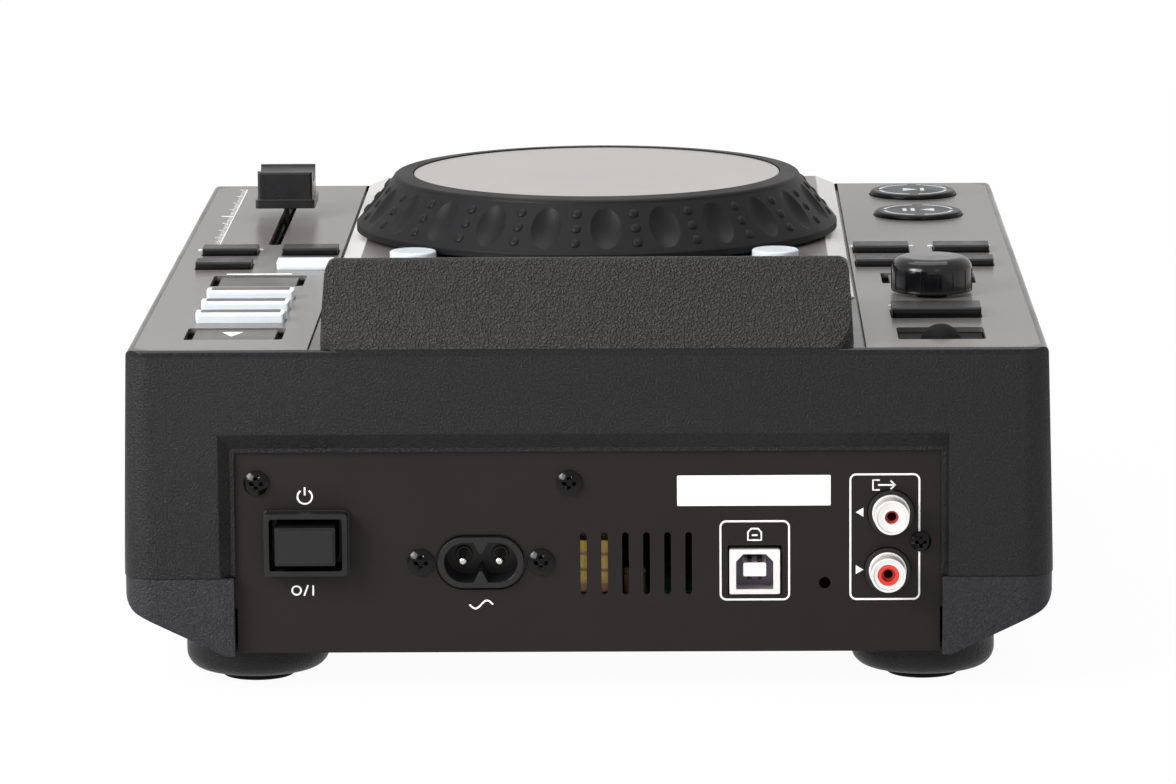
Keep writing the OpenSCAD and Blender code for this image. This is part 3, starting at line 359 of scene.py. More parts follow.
    def scratches(self, tree: Tree, mm: Socket, width: float) -> Socket:
        """Scratches along X, each about eighty times as long as it is wide.

        Args:
            tree: the material's tree.
            mm: the place on the surface, in millimetres.
            width: how wide a scratch is, in millimetres.

        Returns:
            A height from 0 to 1.
        """
        across_to_along = 0.012
        stretched = add_node(
            tree,
            "ShaderNodeVectorMath",
            {0: mm, 1: (across_to_along, 1.0, 1.0)},
            operation="MULTIPLY",
        ).outputs["Vector"]
        return self.cloud(tree, stretched, width)

    def rings(self, tree: Tree, mm: Socket, width: float) -> Socket:
        """Uneven grooves round the jog wheel's axis, one for each width of radius.

        Args:
            tree: the material's tree.
            mm: the place on the surface, in millimetres.
            width: how wide a groove is, in millimetres.

        Returns:
            A height from 0 to 1.
        """
        unevenness = 0.7
        offset = add_node(
            tree,
            "ShaderNodeVectorMath",
            {0: mm, 1: (0.0, -JOG_Y, 0.0)},
            operation="ADD",
        ).outputs["Vector"]
        flat = add_node(
            tree,
            "ShaderNodeVectorMath",
            {0: offset, 1: (1.0, 1.0, 0.0)},
            operation="MULTIPLY",
        ).outputs["Vector"]
        radius = add_node(
            tree, "ShaderNodeVectorMath", {0: flat}, operation="LENGTH"
        ).outputs["Value"]
        return add_node(
            tree,
            "ShaderNodeTexNoise",
            {
                "W": radius,
                "Scale": 1 / width,
                "Detail": OCTAVES,
                "Roughness": unevenness,
            },
            noise_dimensions="1D",
        ).outputs["Fac"]

    def extras(self) -> dict[str, Any]:
        """What this finish alone sets on its shader; a plain one sets nothing more."""
        return {}


def share_above(tree: Tree, place: Socket, axis: str, edge: Point2) -> Socket:
    """A mask that passes from 0 to 1 between the two places of edge along an axis.

    Args:
        tree: the material's tree.
        place: the place on the surface, in millimetres.
        axis: X, Y or Z.
        edge: where the mask is 0 and where it is 1, in millimetres.

    Returns:
        The mask at the place.
    """
    parts = add_node(tree, "ShaderNodeSeparateXYZ", {0: place})
    return add_node(
        tree,
        "ShaderNodeMapRange",
        {"Value": parts.outputs[axis], "From Min": edge[0], "From Max": edge[1]},
    ).outputs["Result"]


def zoned(
    tree: Tree, place: Socket, axis: str, edge: Point2, first: Any, second: Any
) -> Socket:
    """Colours a surface in two zones that follow each other along an axis.

    Args:
        tree: the material's tree.
        place: the place on the surface, in millimetres.
        axis: X, Y or Z.
        edge: where the first zone ends and where the second begins.
        first: the colour of the first zone, or a socket with it.
        second: the colour of the second zone, or a socket with it.

    Returns:
        The colour at the place.
    """
    return add_node(
        tree,
        "ShaderNodeMix",
        {"Factor": share_above(tree, place, axis, edge), MIX_A: first, MIX_B: second},
        data_type="RGBA",
    ).outputs[MIX_RESULT]


# ---------------------------------------------------------------- finishes


@dataclass(frozen=True)
class MouldedShell(Finish):
    """Black ABS out of two moulds: sparked walls, and leather grain on the housing."""

    name: str = "abs_moulded_black"
    base: str = "#0c0c0d"
    # The shade is the colour of the painted glints on the walls.
    shade: str = "#1e1e20"
    roughness: float = 0.44
    specular: float = 0.24
    edge: float = 0.35
    mottle: float = 14.0
    # Painted light: the housing is coloured greyer for the light its grain catches, and
    # its pebbles paler as painted highlights.
    painted_grain_light: str = "#272625"
    painted_pebble_highlight: str = "#504f4d"
    # The mould's pits are about 0.1 mm wide; they are drawn at 0.5 mm, so as to show.
    grains: tuple[Grain, ...] = (
        Grain(Relief.SPARKED, 0.5, 0.34),
        Grain(Relief.LEATHER, 0.55, 0.8),
    )
    # Heights between which the housing's grain and the polished rim set in.
    housing: Point2 = (DECK + 0.2, DECK + 0.6)
    rim_foot: Point2 = (DECK - 1.9, DECK - 1.1)
    # How much smoother hands have made the rim.
    handled: float = 0.26
    # The bands of the relief that pass from one colour to the other: on the housing
    # into painted highlights, on the walls into painted glints.
    pebble_highlight_band: Point2 = (0.2, 0.9)
    pit_glint_band: Point2 = (0.35, 0.65)

    def colour(self, tree: Tree, mm: Socket) -> Socket:
        """Black, and on the housing painted light: a grey lift for the light its grain
        catches, paler still as painted highlights on the pebbles' crowns.

        Args:
            tree: the material's tree.
            mm: the place on the surface, in millimetres.

        Returns:
            The colour at the place.
        """
        # Painted highlights: the higher a pebble stands, the paler it is coloured.
        lit_pebble_tops = add_node(
            tree,
            "ShaderNodeMapRange",
            {
                "Value": self.height(tree, mm, self.grains[1]),
                "From Min": self.pebble_highlight_band[0],
                "From Max": self.pebble_highlight_band[1],
            },
        ).outputs["Result"]
        housing_with_painted_light = add_node(
            tree,
            "ShaderNodeMix",
            {"Factor": lit_pebble_tops, MIX_A: linear(self.painted_grain_light), MIX_B: linear(self.painted_pebble_highlight)},
            data_type="RGBA",
        ).outputs[MIX_RESULT]
        walls = self.painted_glint_specks(tree, mm)
        return zoned(tree, mm, "Z", self.housing, walls, housing_with_painted_light)

    def painted_glint_specks(self, tree: Tree, mm: Socket) -> Socket:
        """The base colour, with pale specks as painted glints where the mould's pits
        would catch the light.

        Args:
            tree: the material's tree.
            mm: the place on the surface, in millimetres.

        Returns:
            The colour at the place.
        """
        # Painted glints: pale specks stand in for light on the rims of the mould's
        # pits.
        rims = add_node(
            tree,
            "ShaderNodeMapRange",
            {
                "Value": self.cloud(tree, mm, self.grains[0].width),
                "From Min": self.pit_glint_band[0],
                "From Max": self.pit_glint_band[1],
            },
        ).outputs["Result"]
        return add_node(
            tree,
            "ShaderNodeMix",
            {"Factor": rims, MIX_A: linear(self.base), MIX_B: linear(self.shade)},
            data_type="RGBA",
        ).outputs[MIX_RESULT]

    def rim(self, tree: Tree, mm: Socket) -> Socket:
        """A mask that is 1 on the rim round the control surface.

        Args:
            tree: the material's tree.
            mm: the place on the surface, in millimetres.

        Returns:
            The mask at the place.
        """
        low = share_above(tree, mm, "Z", self.rim_foot)
        high = share_above(tree, mm, "Z", self.housing[::-1])
        return add_node(
            tree, "ShaderNodeMath", {0: low, 1: high}, operation="MULTIPLY"
        ).outputs["Value"]

    def polish(self, tree: Tree, mm: Socket) -> Socket:
        """Smoother along the rim of the control surface, which hands have polished.

        Args:
            tree: the material's tree.
            mm: the place on the surface, in millimetres.

        Returns:
            The roughness at the place.
        """
        plain = Finish.polish(self, tree, mm)
        return add_node(
            tree,
            "ShaderNodeMath",
            {0: self.rim(tree, mm), 1: -self.handled, 2: plain},
            operation="MULTIPLY_ADD",
        ).outputs["Value"]

    def reach(self, tree: Tree, mm: Socket, grain: Grain) -> Any:
        """The leather grain is on the housing alone, and the rim has no pits.

        Args:
            tree: the material's tree.
            mm: the place on the surface, in millimetres.
            grain: the layer of relief.

        Returns:
            A strength from 0 to 1, or a socket with it.
        """
        if grain.relief is Relief.LEATHER:
            return share_above(tree, mm, "Z", self.housing)
        return add_node(
            tree,
            "ShaderNodeMath",
            {0: 1.0, 1: self.rim(tree, mm)},
            operation="SUBTRACT",
        ).outputs["Value"]


@dataclass(frozen=True)
class LowerShell(MouldedShell):
    """The lower moulding: the same black ABS, painted greyer as the light the table
    bounces onto it, and black on the feet.
    """

    name: str = "abs_moulded_black_painted_bounce"
    # Painted light: greyer than the upper shell's black for the light the table bounces
    # up; the shade is the colour of its painted glints.
    base: str = "#1c1c1f"
    shade: str = "#2c2c2f"
    feet: str = "#101011"
    # Painted shade: a black line along the seam, where the gap between the shells would
    # lie in shade.
    gap: str = "#060607"
    feet_end: Point2 = (FOOT_TOP - 0.25, FOOT_TOP - 0.05)
    seam_shade_from: Point2 = (SEAM - 0.4, SEAM - 0.2)

    def colour(self, tree: Tree, mm: Socket) -> Socket:
        """Grey as painted bounce light, black on the feet, and a black line of painted
        shade in the gap along the seam.

        Args:
            tree: the material's tree.
            mm: the place on the surface, in millimetres.

        Returns:
            The colour at the place.
        """
        charcoal = self.painted_glint_specks(tree, mm)
        # Painted shade along the seam's gap.
        wall = zoned(tree, mm, "Z", self.seam_shade_from, charcoal, linear(self.gap))
        return zoned(tree, mm, "Z", self.feet_end, linear(self.feet), wall)


@dataclass(frozen=True)
class FootRubber(Finish):
    """Natural rubber with carbon black, pressed: dull, and grey where it is scuffed."""

    name: str = "rubber_pressed_black"
    base: str = "#0e0e0f"
    shade: str = "#161617"
    roughness: float = 0.8
    specular: float = 0.18
    grains: tuple[Grain, ...] = (Grain(Relief.SPARKED, 0.5, 0.04),)


@dataclass(frozen=True)
class PanelPaint(Finish):
    """Steel sheet with black enamel: warm, nearly matt, with a faint orange peel."""

    name: str = "steel_enamelled_black"
    base: str = "#191514"
    shade: str = "#1f1a19"
    roughness: float = 0.48
    specular: float = 0.2
    mottle: float = 22.0
    edge: float = 0.15
    grains: tuple[Grain, ...] = (
        Grain(Relief.ROLLED, 1.6, 0.012),
        Grain(Relief.SPARKED, 0.5, 0.008),
    )


@dataclass(frozen=True)
class PlateFilm(Finish):
    """Dark polycarbonate film, brushed: it mirrors a pale room when seen flat."""

    name: str = "polycarbonate_brushed_grey"
    base: str = "#64615f"
    shade: str = "#666361"
    roughness: float = 0.27
    uneven: float = 0.005
    edge: float = 0.15
    mottle: float = 30.0
    # The brush lines are about 0.05 mm wide; they are drawn at 0.35 mm, so as to show.
    grains: tuple[Grain, ...] = (Grain(Relief.BRUSHED, 0.35, 0.006),)


@dataclass(frozen=True)
class PlateauFilm(PlateFilm):
    """The same film on the jog plateau, with silver lacquer on its sloping flanks."""

    name: str = "polycarbonate_brushed_silver_flanks"
    silver: str = "#c6c5c3"
    # How far from the middle of the player each flank sets in.
    flank: Point2 = (60.3, 60.6)

    def colour(self, tree: Tree, mm: Socket) -> Socket:
        """The film's colour, and silver from the plateau's edge outwards.

        Args:
            tree: the material's tree.
            mm: the place on the surface, in millimetres.

        Returns:
            The colour at the place.
        """
        across = add_node(
            tree, "ShaderNodeVectorMath", {0: mm}, operation="ABSOLUTE"
        ).outputs["Vector"]
        plain = Finish.colour(self, tree, mm)
        return zoned(tree, across, "X", self.flank, plain, linear(self.silver))


@dataclass(frozen=True)
class SmokedAcrylic(Finish):
    """Smoked acrylic sheet, extruded and polished: nearly black over the display."""

    name: str = "acrylic_smoked"
    base: str = "#3c4044"
    shade: str = "#383c40"
    roughness: float = 0.05
    uneven: float = 0.02
    coat: float = 0.4
    clear: float = 0.85
    ior: float = 1.49

    def extras(self) -> dict[str, Any]:
        """Lets light through, so that the display shows faintly below."""
        return {"Transmission Weight": self.clear, "IOR": self.ior}


@dataclass(frozen=True)
class DisplayGlass(Finish):
    """Unlit liquid crystal display: grey-green glass with a fine grid of dark cells."""

    name: str = "display_cells_unlit"
    base: str = "#50564f"
    shade: str = "#474d47"
    roughness: float = 0.22
    between: str = "#3a403b"
    cell: float = 0.8
    line: float = 0.05

    def colour(self, tree: Tree, mm: Socket) -> Socket:
        """The glass colour, with darker lines between the cells.

        Args:
            tree: the material's tree.
            mm: the place on the surface, in millimetres.

        Returns:
            The colour at the place.
        """
        return add_node(
            tree,
            "ShaderNodeTexBrick",
            {
                "Vector": mm,
                "Color1": linear(self.base),
                "Color2": linear(self.shade),
                "Mortar": linear(self.between),
                "Scale": 1.0,
                "Mortar Size": self.line,
                "Brick Width": self.cell,
                "Row Height": self.cell,
            },
            offset=0.0,
        ).outputs["Color"]


@dataclass(frozen=True)
class BoardLaminate(Finish):
    """Glass-epoxy laminate under green solder mask, with its tracks just raised."""

    name: str = "laminate_solder_mask_green"
    base: str = "#1d5233"
    shade: str = "#25653f"
    roughness: float = 0.35
    mottle: float = 2.0
    grains: tuple[Grain, ...] = (Grain(Relief.LEATHER, 2.4, 0.03),)


@dataclass(frozen=True)
class BoardParts(Finish):
    """Moulded components: black epoxy, and beige ceramic by the mains inlet."""

    name: str = "components_epoxy_and_ceramic"
    base: str = "#232322"
    shade: str = "#2d2c2a"
    roughness: float = 0.45
    grains: tuple[Grain, ...] = (Grain(Relief.SPARKED, 0.6, 0.02),)
    ceramic: str = "#d8c48c"
    # The ceramic ones stand low and near the rear wall, and the display lies on top.
    mains_top: Point2 = (31.0, 30.5)
    mains_front: Point2 = (110.0, 110.5)
    display: Point2 = (DECK - 0.5, DECK - 0.3)

    def colour(self, tree: Tree, mm: Socket) -> Socket:
        """Black, beige low down behind the vents, and glass cells under the window.

        Args:
            tree: the material's tree.
            mm: the place on the surface, in millimetres.

        Returns:
            The colour at the place.
        """
        low = share_above(tree, mm, "Z", self.mains_top)
        rear = share_above(tree, mm, "Y", self.mains_front)
        here = add_node(
            tree, "ShaderNodeMath", {0: low, 1: rear}, operation="MULTIPLY"
        ).outputs["Value"]
        black = Finish.colour(self, tree, mm)
        boards = add_node(
            tree,
            "ShaderNodeMix",
            {"Factor": here, MIX_A: black, MIX_B: linear(self.ceramic)},
            data_type="RGBA",
        ).outputs[MIX_RESULT]
        cells = DisplayGlass().colour(tree, mm)
        return zoned(tree, mm, "Z", self.display, boards, cells)


@dataclass(frozen=True)
class WindingTape(Finish):
    """Polyester tape round the transformer: yellow, and darker where turns overlap."""

    name: str = "polyester_tape_yellow"
    base: str = "#dcb612"
    shade: str = "#c2950a"
    roughness: float = 0.25
    mottle: float = 1.4
    grains: tuple[Grain, ...] = (Grain(Relief.ROLLED, 2.0, 0.05),)
    overlap: str = "#7d5f10"
    varnish: str = "#a8601a"
    varnish_top: Point2 = (27.2, 25.4)
    # The wave repeats every 0.314 / bands mm, which makes a turn of tape 4 mm wide.
    bands: float = 0.08
    overlap_from: float = 0.8

    def colour(self, tree: Tree, mm: Socket) -> Socket:
        """Yellow, with a brown line at each turn's overlap, and varnish at the foot.

        Args:
            tree: the material's tree.
            mm: the place on the surface, in millimetres.

        Returns:
            The colour at the place.
        """
        tape = Finish.colour(self, tree, mm)
        dipped = zoned(tree, mm, "Z", self.varnish_top, tape, linear(self.varnish))
        bands = add_node(
            tree,
            "ShaderNodeTexWave",
            {"Vector": mm, "Scale": self.bands, "Distortion": 1.5, "Detail": 2.0},
            bands_direction="Z",
        ).outputs["Fac"]
        overlap = add_node(
            tree,
            "ShaderNodeMapRange",
            {"Value": bands, "From Min": self.overlap_from, "From Max": 1.0},
        ).outputs["Result"]
        return add_node(
            tree,
            "ShaderNodeMix",
            {"Factor": overlap, MIX_A: dipped, MIX_B: linear(self.overlap)},
            data_type="RGBA",
        ).outputs[MIX_RESULT]


@dataclass(frozen=True)
class BlackenedScrew(Finish):
    """Steel screw with black chromate over zinc: a deep gloss with bright glints."""

    name: str = "steel_black_chromate"
    base: str = "#050506"
    shade: str = "#0a0a0b"
    roughness: float = 0.1
    specular: float = 0.2
    mottle: float = 1.0
    edge: float = 0.2


@dataclass(frozen=True)
class SocketPlastic(Finish):
    """Black glass-filled nylon, moulded: satin, for bezels, inlet and flanges."""

    name: str = "nylon_moulded_black"
    base: str = "#141415"
    shade: str = "#19191a"
    roughness: float = 0.34
    specular: float = 0.34
    edge: float = 0.3
    grains: tuple[Grain, ...] = (Grain(Relief.SPARKED, 0.35, 0.006),)


@dataclass(frozen=True)
class NickelPlate(Finish):
    """Nickel plate on brass or steel: a warm silver with fine wipe marks."""

    name: str = "nickel_plate"
    base: str = "#d9d2c3"
    shade: str = "#c9c2b4"
    roughness: float = 0.24
    metallic: float = 1.0
    mottle: float = 1.5
    edge: float = 0.12
    grains: tuple[Grain, ...] = (Grain(Relief.ROLLED, 0.5, 0.004),)


@dataclass(frozen=True)
class PhonoSleeve(NickelPlate):
    """Tin-plated sleeve of a socket, brushed so bright that it looks cream white."""

    name: str = "tin_plate_bright"
    base: str = "#f2f0ee"
    shade: str = "#e6e3df"
    roughness: float = 0.34
    metallic: float = 0.4


@dataclass(frozen=True)
class WhiteInsert(Finish):
    """White polyester resin, moulded: a soft gloss with a slight cream tint."""

    name: str = "pbt_moulded_white"
    base: str = "#edebe7"
    shade: str = "#e3e0da"
    roughness: float = 0.35
    mottle: float = 2.0


@dataclass(frozen=True)
class RedInsert(WhiteInsert):
    """The same resin coloured red."""

    name: str = "pbt_moulded_red"
    base: str = "#e2381f"
    shade: str = "#d0301b"


@dataclass(frozen=True)
class RedLiner(Finish):
    """Dark red phenolic board in the depth of a phono socket, punched: dull."""

    name: str = "phenolic_dark_red"
    base: str = "#b3291a"
    shade: str = "#982013"
    roughness: float = 0.5
    mottle: float = 1.0


@dataclass(frozen=True)
class SocketTongue(WhiteInsert):
    """The data socket's insert: a white tongue before a back wall of grey-violet nylon,
    coloured darker as painted shade deep in the socket.
    """

    name: str = "pbt_moulded_tongue"
    base: str = "#f4f5fa"
    shade: str = "#eceef5"
    # Painted shade: the back wall is coloured dark where little light reaches into the
    # socket.
    wall: str = "#7d788c"
    root: Point2 = (130.5, 130.9)

    def colour(self, tree: Tree, mm: Socket) -> Socket:
        """White on the tongue, and behind it the back wall, darkened as painted shade.
        """
        white = Finish.colour(self, tree, mm)
        return zoned(tree, mm, "Y", self.root, linear(self.wall), white)


@dataclass(frozen=True)
class ContactBronze(Finish):
    """Phosphor bronze springs, stamped: coloured dark brown as painted shade where they
    hang in the socket.
    """

    name: str = "bronze_stamped_dark"
    # Painted shade: the bronze is darkened for the shade inside the data socket.
    base: str = "#4a2c22"
    shade: str = "#2e1c18"
    roughness: float = 0.4
    metallic: float = 0.8
    mottle: float = 0.8
    edge: float = 0.1


@dataclass(frozen=True)
class SlotFelt(Finish):
    """Black wool felt, die cut: a dull pile that catches light along its edges."""

    name: str = "felt_black"
    base: str = "#1a1a1b"
    shade: str = "#262627"
    roughness: float = 0.95
    specular: float = 0.1
    mottle: float = 0.8
    grains: tuple[Grain, ...] = (Grain(Relief.SPARKED, 0.4, 0.12),)
    pile: float = 0.5
    pile_roughness: float = 0.6

    def extras(self) -> dict[str, Any]:
        """Adds the pile's sheen."""
        return {"Sheen Weight": self.pile, "Sheen Roughness": self.pile_roughness}


@dataclass(frozen=True)
class DriveSteel(Finish):
    """Galvanised sheet, pressed: grey metal with the faint spangle of the zinc."""

    name: str = "steel_galvanised"
    base: str = "#a9acae"
    shade: str = "#969a9d"
    roughness: float = 0.36
    metallic: float = 1.0
    mottle: float = 4.0
    grains: tuple[Grain, ...] = (Grain(Relief.LEATHER, 5.0, 0.01),)


@dataclass(frozen=True)
class SledResin(Finish):
    """Glass-filled resin, moulded: dark grey with pale flecks of fibre."""

    name: str = "pps_glass_filled"
    base: str = "#3a3b3c"
    shade: str = "#4a4b4b"
    roughness: float = 0.55
    mottle: float = 0.7
    grains: tuple[Grain, ...] = (Grain(Relief.SPARKED, 0.5, 0.02),)


@dataclass(frozen=True)
class JogPlastic(Finish):
    """Black ABS with a satin mould: the wheel's grip, smoother than the shells."""

    name: str = "abs_satin_black"
    base: str = "#100f11"
    shade: str = "#141315"
    roughness: float = 0.5
    specular: float = 0.18
    edge: float = 0.4
    mottle: float = 10.0
    grains: tuple[Grain, ...] = (Grain(Relief.SPARKED, 0.5, 0.012),)


@dataclass(frozen=True)
class SpunAluminium(Finish):
    """Aluminium sheet spun on a lathe and lacquered: fine rings that fan the light."""

    name: str = "aluminium_spun"
    base: str = "#c1bdba"
    shade: str = "#b9b5b2"
    roughness: float = 0.38
    metallic: float = 0.85
    mottle: float = 30.0
    edge: float = 0.2
    # The lathe's rings are about 0.05 mm apart; they are drawn at 0.4 mm.
    grains: tuple[Grain, ...] = (Grain(Relief.TURNED, 0.4, 0.004),)


@dataclass(frozen=True)
class KnobPlastic(Finish):
    """Black ABS, polished mould: the browse knob's clear gloss."""

    name: str = "abs_gloss_black"
    base: str = "#0d0d0f"
    shade: str = "#121214"
    roughness: float = 0.13
    specular: float = 0.36
    edge: float = 0.3
    mottle: float = 3.0


@dataclass(frozen=True)
class CapPlastic(KnobPlastic):
    """The fader cap's ABS, from a satin mould that spreads the light along its dish."""

    name: str = "abs_satin_cap"
    base: str = "#141416"
    shade: str = "#19191b"
    roughness: float = 0.28
    specular: float = 0.5


@dataclass(frozen=True)
class ButtonRubber(Finish):
    """Black silicone keycaps, lacquered: satin, with a sheen on their round edges."""

    name: str = "silicone_lacquered_black"
    base: str = "#040405"
    shade: str = "#080809"
    roughness: float = 0.3
    specular: float = 0.14
    mottle: float = 3.0
    grains: tuple[Grain, ...] = (Grain(Relief.SPARKED, 0.4, 0.008),)


@dataclass(frozen=True)
class SunkCap(Finish):
    """Grey metallised ABS: the flush caps, a shade darker than the film round them."""

    name: str = "abs_metallised_grey"
    base: str = "#413f3d"
    shade: str = "#484644"
    roughness: float = 0.36
    mottle: float = 5.0
    grains: tuple[Grain, ...] = (Grain(Relief.BRUSHED, 0.4, 0.006),)


@dataclass(frozen=True)
class LitKey(Finish):
    """Milky silicone over a lamp, unlit: white with light sinking into its edges."""

    name: str = "silicone_milky_white"
    base: str = "#dde4e9"
    shade: str = "#d4dce2"
    roughness: float = 0.32
    mottle: float = 4.0
    milk: float = 0.25
    milk_depth: float = 0.8

    def extras(self) -> dict[str, Any]:
        """Lets light sink about a millimetre into the silicone.

        Returns:
            Inputs of the shader and their values.
        """
        return {
            "Subsurface Weight": self.milk,
            "Subsurface Radius": (1.0, 1.0, 1.0),
            "Subsurface Scale": self.milk_depth * MM,
        }


@dataclass(frozen=True)
class ScreenInk(Finish):
    """White screen-print ink: matt, and a little uneven."""

    name: str = "ink_printed_white"
    base: str = "#fbfbfa"
    shade: str = "#f0f0ef"
    roughness: float = 0.6
    mottle: float = 0.8
    edge: float = 0.02


@dataclass(frozen=True)
class LabelPaper(ScreenInk):
    """Coated paper label: smooth white with faint fibres."""

    name: str = "paper_coated_white"
    base: str = "#fcfcfb"
    shade: str = "#f6f6f4"
    roughness: float = 0.45
    grains: tuple[Grain, ...] = (Grain(Relief.ROLLED, 0.6, 0.01),)


# ---------------------------------------------------------------- meshes


def arc(
    middle: Point2, radius: float, start: float, end: float, steps: int
) -> list[Point2]:
    """Points along an arc, from start to end in degrees.

    Args:
        middle: the middle of its circle.
        radius: its radius.
        start: where it starts, in degrees.
        end: where it ends, in degrees.
        steps: how many steps it is drawn in.

    Returns:
        The points, one more than the steps.
    """
    turns = [math.radians(start + (end - start) * i / steps) for i in range(steps + 1)]
    return [
        (middle[0] + radius * math.cos(t), middle[1] + radius * math.sin(t))
        for t in turns
    ]


def circle(middle: Point2, radius: float, points: int) -> list[Point2]:
    """Points all round a circle."""
    return arc(middle, radius, 0, 360 - 360 / points, points - 1)


def rounded(width: float, height: float, radius: float, middle: Point2) -> list[Point2]:
    """The outline of a rectangle with round corners.

    Args:
        width: how wide it is.
        height: how high it is.
        radius: the radius of its corners.
        middle: its middle.

    Returns:
        The points, in turn from the right side's top.
    """
    x, y = width / 2 - radius, height / 2 - radius
    corners = [(x, y, 0), (-x, y, 90), (-x, -y, 180), (x, -y, 270)]
    return [
        p
        for cx, cy, a in corners
        for p in arc((middle[0] + cx, middle[1] + cy), radius, a, a + 90, CORNER_STEPS)
    ]


def upright(y: float) -> Matrix:
    """A drawing that stands at the given Y: its own X, its height, and its way out."""
    return Matrix(((1, 0, 0, 0), (0, 0, 1, y), (0, 1, 0, 0), (0, 0, 0, 1)))


class Draft:
    """A mesh in the making, drawn in millimetres in a plane of its own."""

    def __init__(self, place: Matrix | None = None) -> None:
        """Starts an empty mesh.

        Args:
            place: turns a point of the drawing into one of the player.
        """
        self.mesh = bmesh.new()
        self.place = place or Matrix.Identity(4)

    def _loop(self, outline: Sequence[Point2], z: float) -> list[bmesh.types.BMVert]:
        """Adds a ring of points at the height z of the drawing."""
        return [self.mesh.verts.new(self.place @ Vector((x, y, z))) for x, y in outline]

    def _walls(
        self, low: list[bmesh.types.BMVert], high: list[bmesh.types.BMVert]
    ) -> None:
        """Joins two rings of points with a wall.

        Args:
            low: the first ring.
            high: the second ring.
        """
        for i in range(len(low)):
            j = (i + 1) % len(low)
            self.mesh.faces.new((low[i], low[j], high[j], high[i]))

    def prism(self, outline: Sequence[Point2], low: float, high: float) -> None:
        """Adds a solid with one outline from low to high.

        Args:
            outline: the points of its outline.
            low: where it starts, in the drawing's height.
            high: where it ends, in the drawing's height.
        """
        bottom, top = self._loop(outline, low), self._loop(outline, high)
        self._walls(bottom, top)
        self.mesh.faces.new(bottom[::-1])
        self.mesh.faces.new(top)

    def band(
        self,
        outer: Sequence[Point2],
        inner: Sequence[Point2],
        low: float,
        high: float,
    ) -> None:
        """Adds a closed band between two outlines that have as many points.

        Args:
            outer: the outer outline.
            inner: the inner outline.
            low: where it starts, in the drawing's height.
            high: where it ends, in the drawing's height.
        """
        rings = [
            self._loop(outer, low),
            self._loop(outer, high),
            self._loop(inner, high),
            self._loop(inner, low),
        ]
        for a, b in zip(rings, rings[1:] + rings[:1]):
            self._walls(a, b)

    def turned(self, profile: Sequence[Point2], middle: Point2, points: int) -> None:
        """Adds a solid turned from (radius, height) points, round a middle.

        Args:
            profile: its outline, from the middle of its foot to that of its top.
            middle: where its axis stands.
            points: how many points lie round it.
        """
        unit = circle((0.0, 0.0), 1.0, points)
        loops = [
            self._loop([(middle[0] + r * x, middle[1] + r * y) for x, y in unit], z)
            for r, z in profile
        ]
        for a, b in zip(loops, loops[1:]):
            self._walls(a, b)
        self.mesh.faces.new(loops[0][::-1])
        self.mesh.faces.new(loops[-1])

    def ring(
        self, middle: Point2, radius: float, width: float, low: float, high: float
    ) -> None:
        """Adds a flat ring whose stroke runs along the given radius.

        Args:
            middle: its middle.
            radius: the radius of its stroke.
            width: the stroke's width.
            low: where it starts, in the drawing's height.
            high: where it ends, in the drawing's height.
        """
        outer = circle(middle, radius + width / 2, RING_POINTS)
        inner = circle(middle, radius - width / 2, RING_POINTS)
        self.band(outer, inner, low, high)

    def ribbon(
        self, line: Sequence[Point2], width: float, low: float, high: float
    ) -> None:
        """Adds a stroke of even width along an open line of points.

        Args:
            line: the points that it follows.
            width: its width.
            low: where it starts, in the drawing's height.
            high: where it ends, in the drawing's height.
        """
        last = len(line) - 1
        loops = []
        for i, point in enumerate(line):
            along = Vector(line[min(i + 1, last)]) - Vector(line[max(i - 1, 0)])
            aside = Vector((-along.y, along.x)).normalized() * width / 2
            left, right = Vector(point) + aside, Vector(point) - aside
            loops.append(
                self._loop([left, right], low) + self._loop([right, left], high)
            )
        for a, b in zip(loops, loops[1:]):
            self._walls(a, b)
        self.mesh.faces.new(loops[0][::-1])
        self.mesh.faces.new(loops[-1])

    def block(self, middle: Point2, size: Point2, low: float, high: float) -> None:
        """Adds a box that stands on the drawing.

        Args:
            middle: its middle.
            size: how wide and how deep it is.
            low: where it starts, in the drawing's height.
            high: where it ends, in the drawing's height.
        """
        (x, y), (w, h) = middle, (size[0] / 2, size[1] / 2)
        corners = [(x + w, y + h), (x - w, y + h), (x - w, y - h), (x + w, y - h)]
        self.prism(corners, low, high)

    def piece(self, name: str, body: str, finish: Finish) -> None:
        """Turns the drawing into a piece of the player.

        Args:
            name: the piece's name.
            body: the CAD body that it rides on.
            finish: its finish.
        """
        bmesh.ops.recalc_face_normals(self.mesh, faces=self.mesh.faces)
        bmesh.ops.scale(self.mesh, vec=(MM,) * 3, verts=self.mesh.verts)
        data = bpy.data.meshes.new(name)
        self.mesh.to_mesh(data)
        self.mesh.free()
        obj = bpy.data.objects.new(name, data)
        bpy.context.scene.collection.objects.link(obj)
        data.materials.append(finish.build())
        data.shade_smooth()
        data.set_sharp_from_angle(angle=math.radians(SHARP_FROM))
        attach(obj, body)
        LOG.info("piece %s rides on %s", name, body)


def dress(finish: Finish, *names: str) -> None:
    """Gives a finish to CAD nodes that keep their shape.

    Args:
        finish: the finish.
        *names: the nodes' names.
    """
    for name in names:
        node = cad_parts[name]
        node.data.materials.clear()
        node.data.materials.append(finish.build())
        LOG.info("node %s is %s", name, finish.name)


# ---------------------------------------------------------------- studio


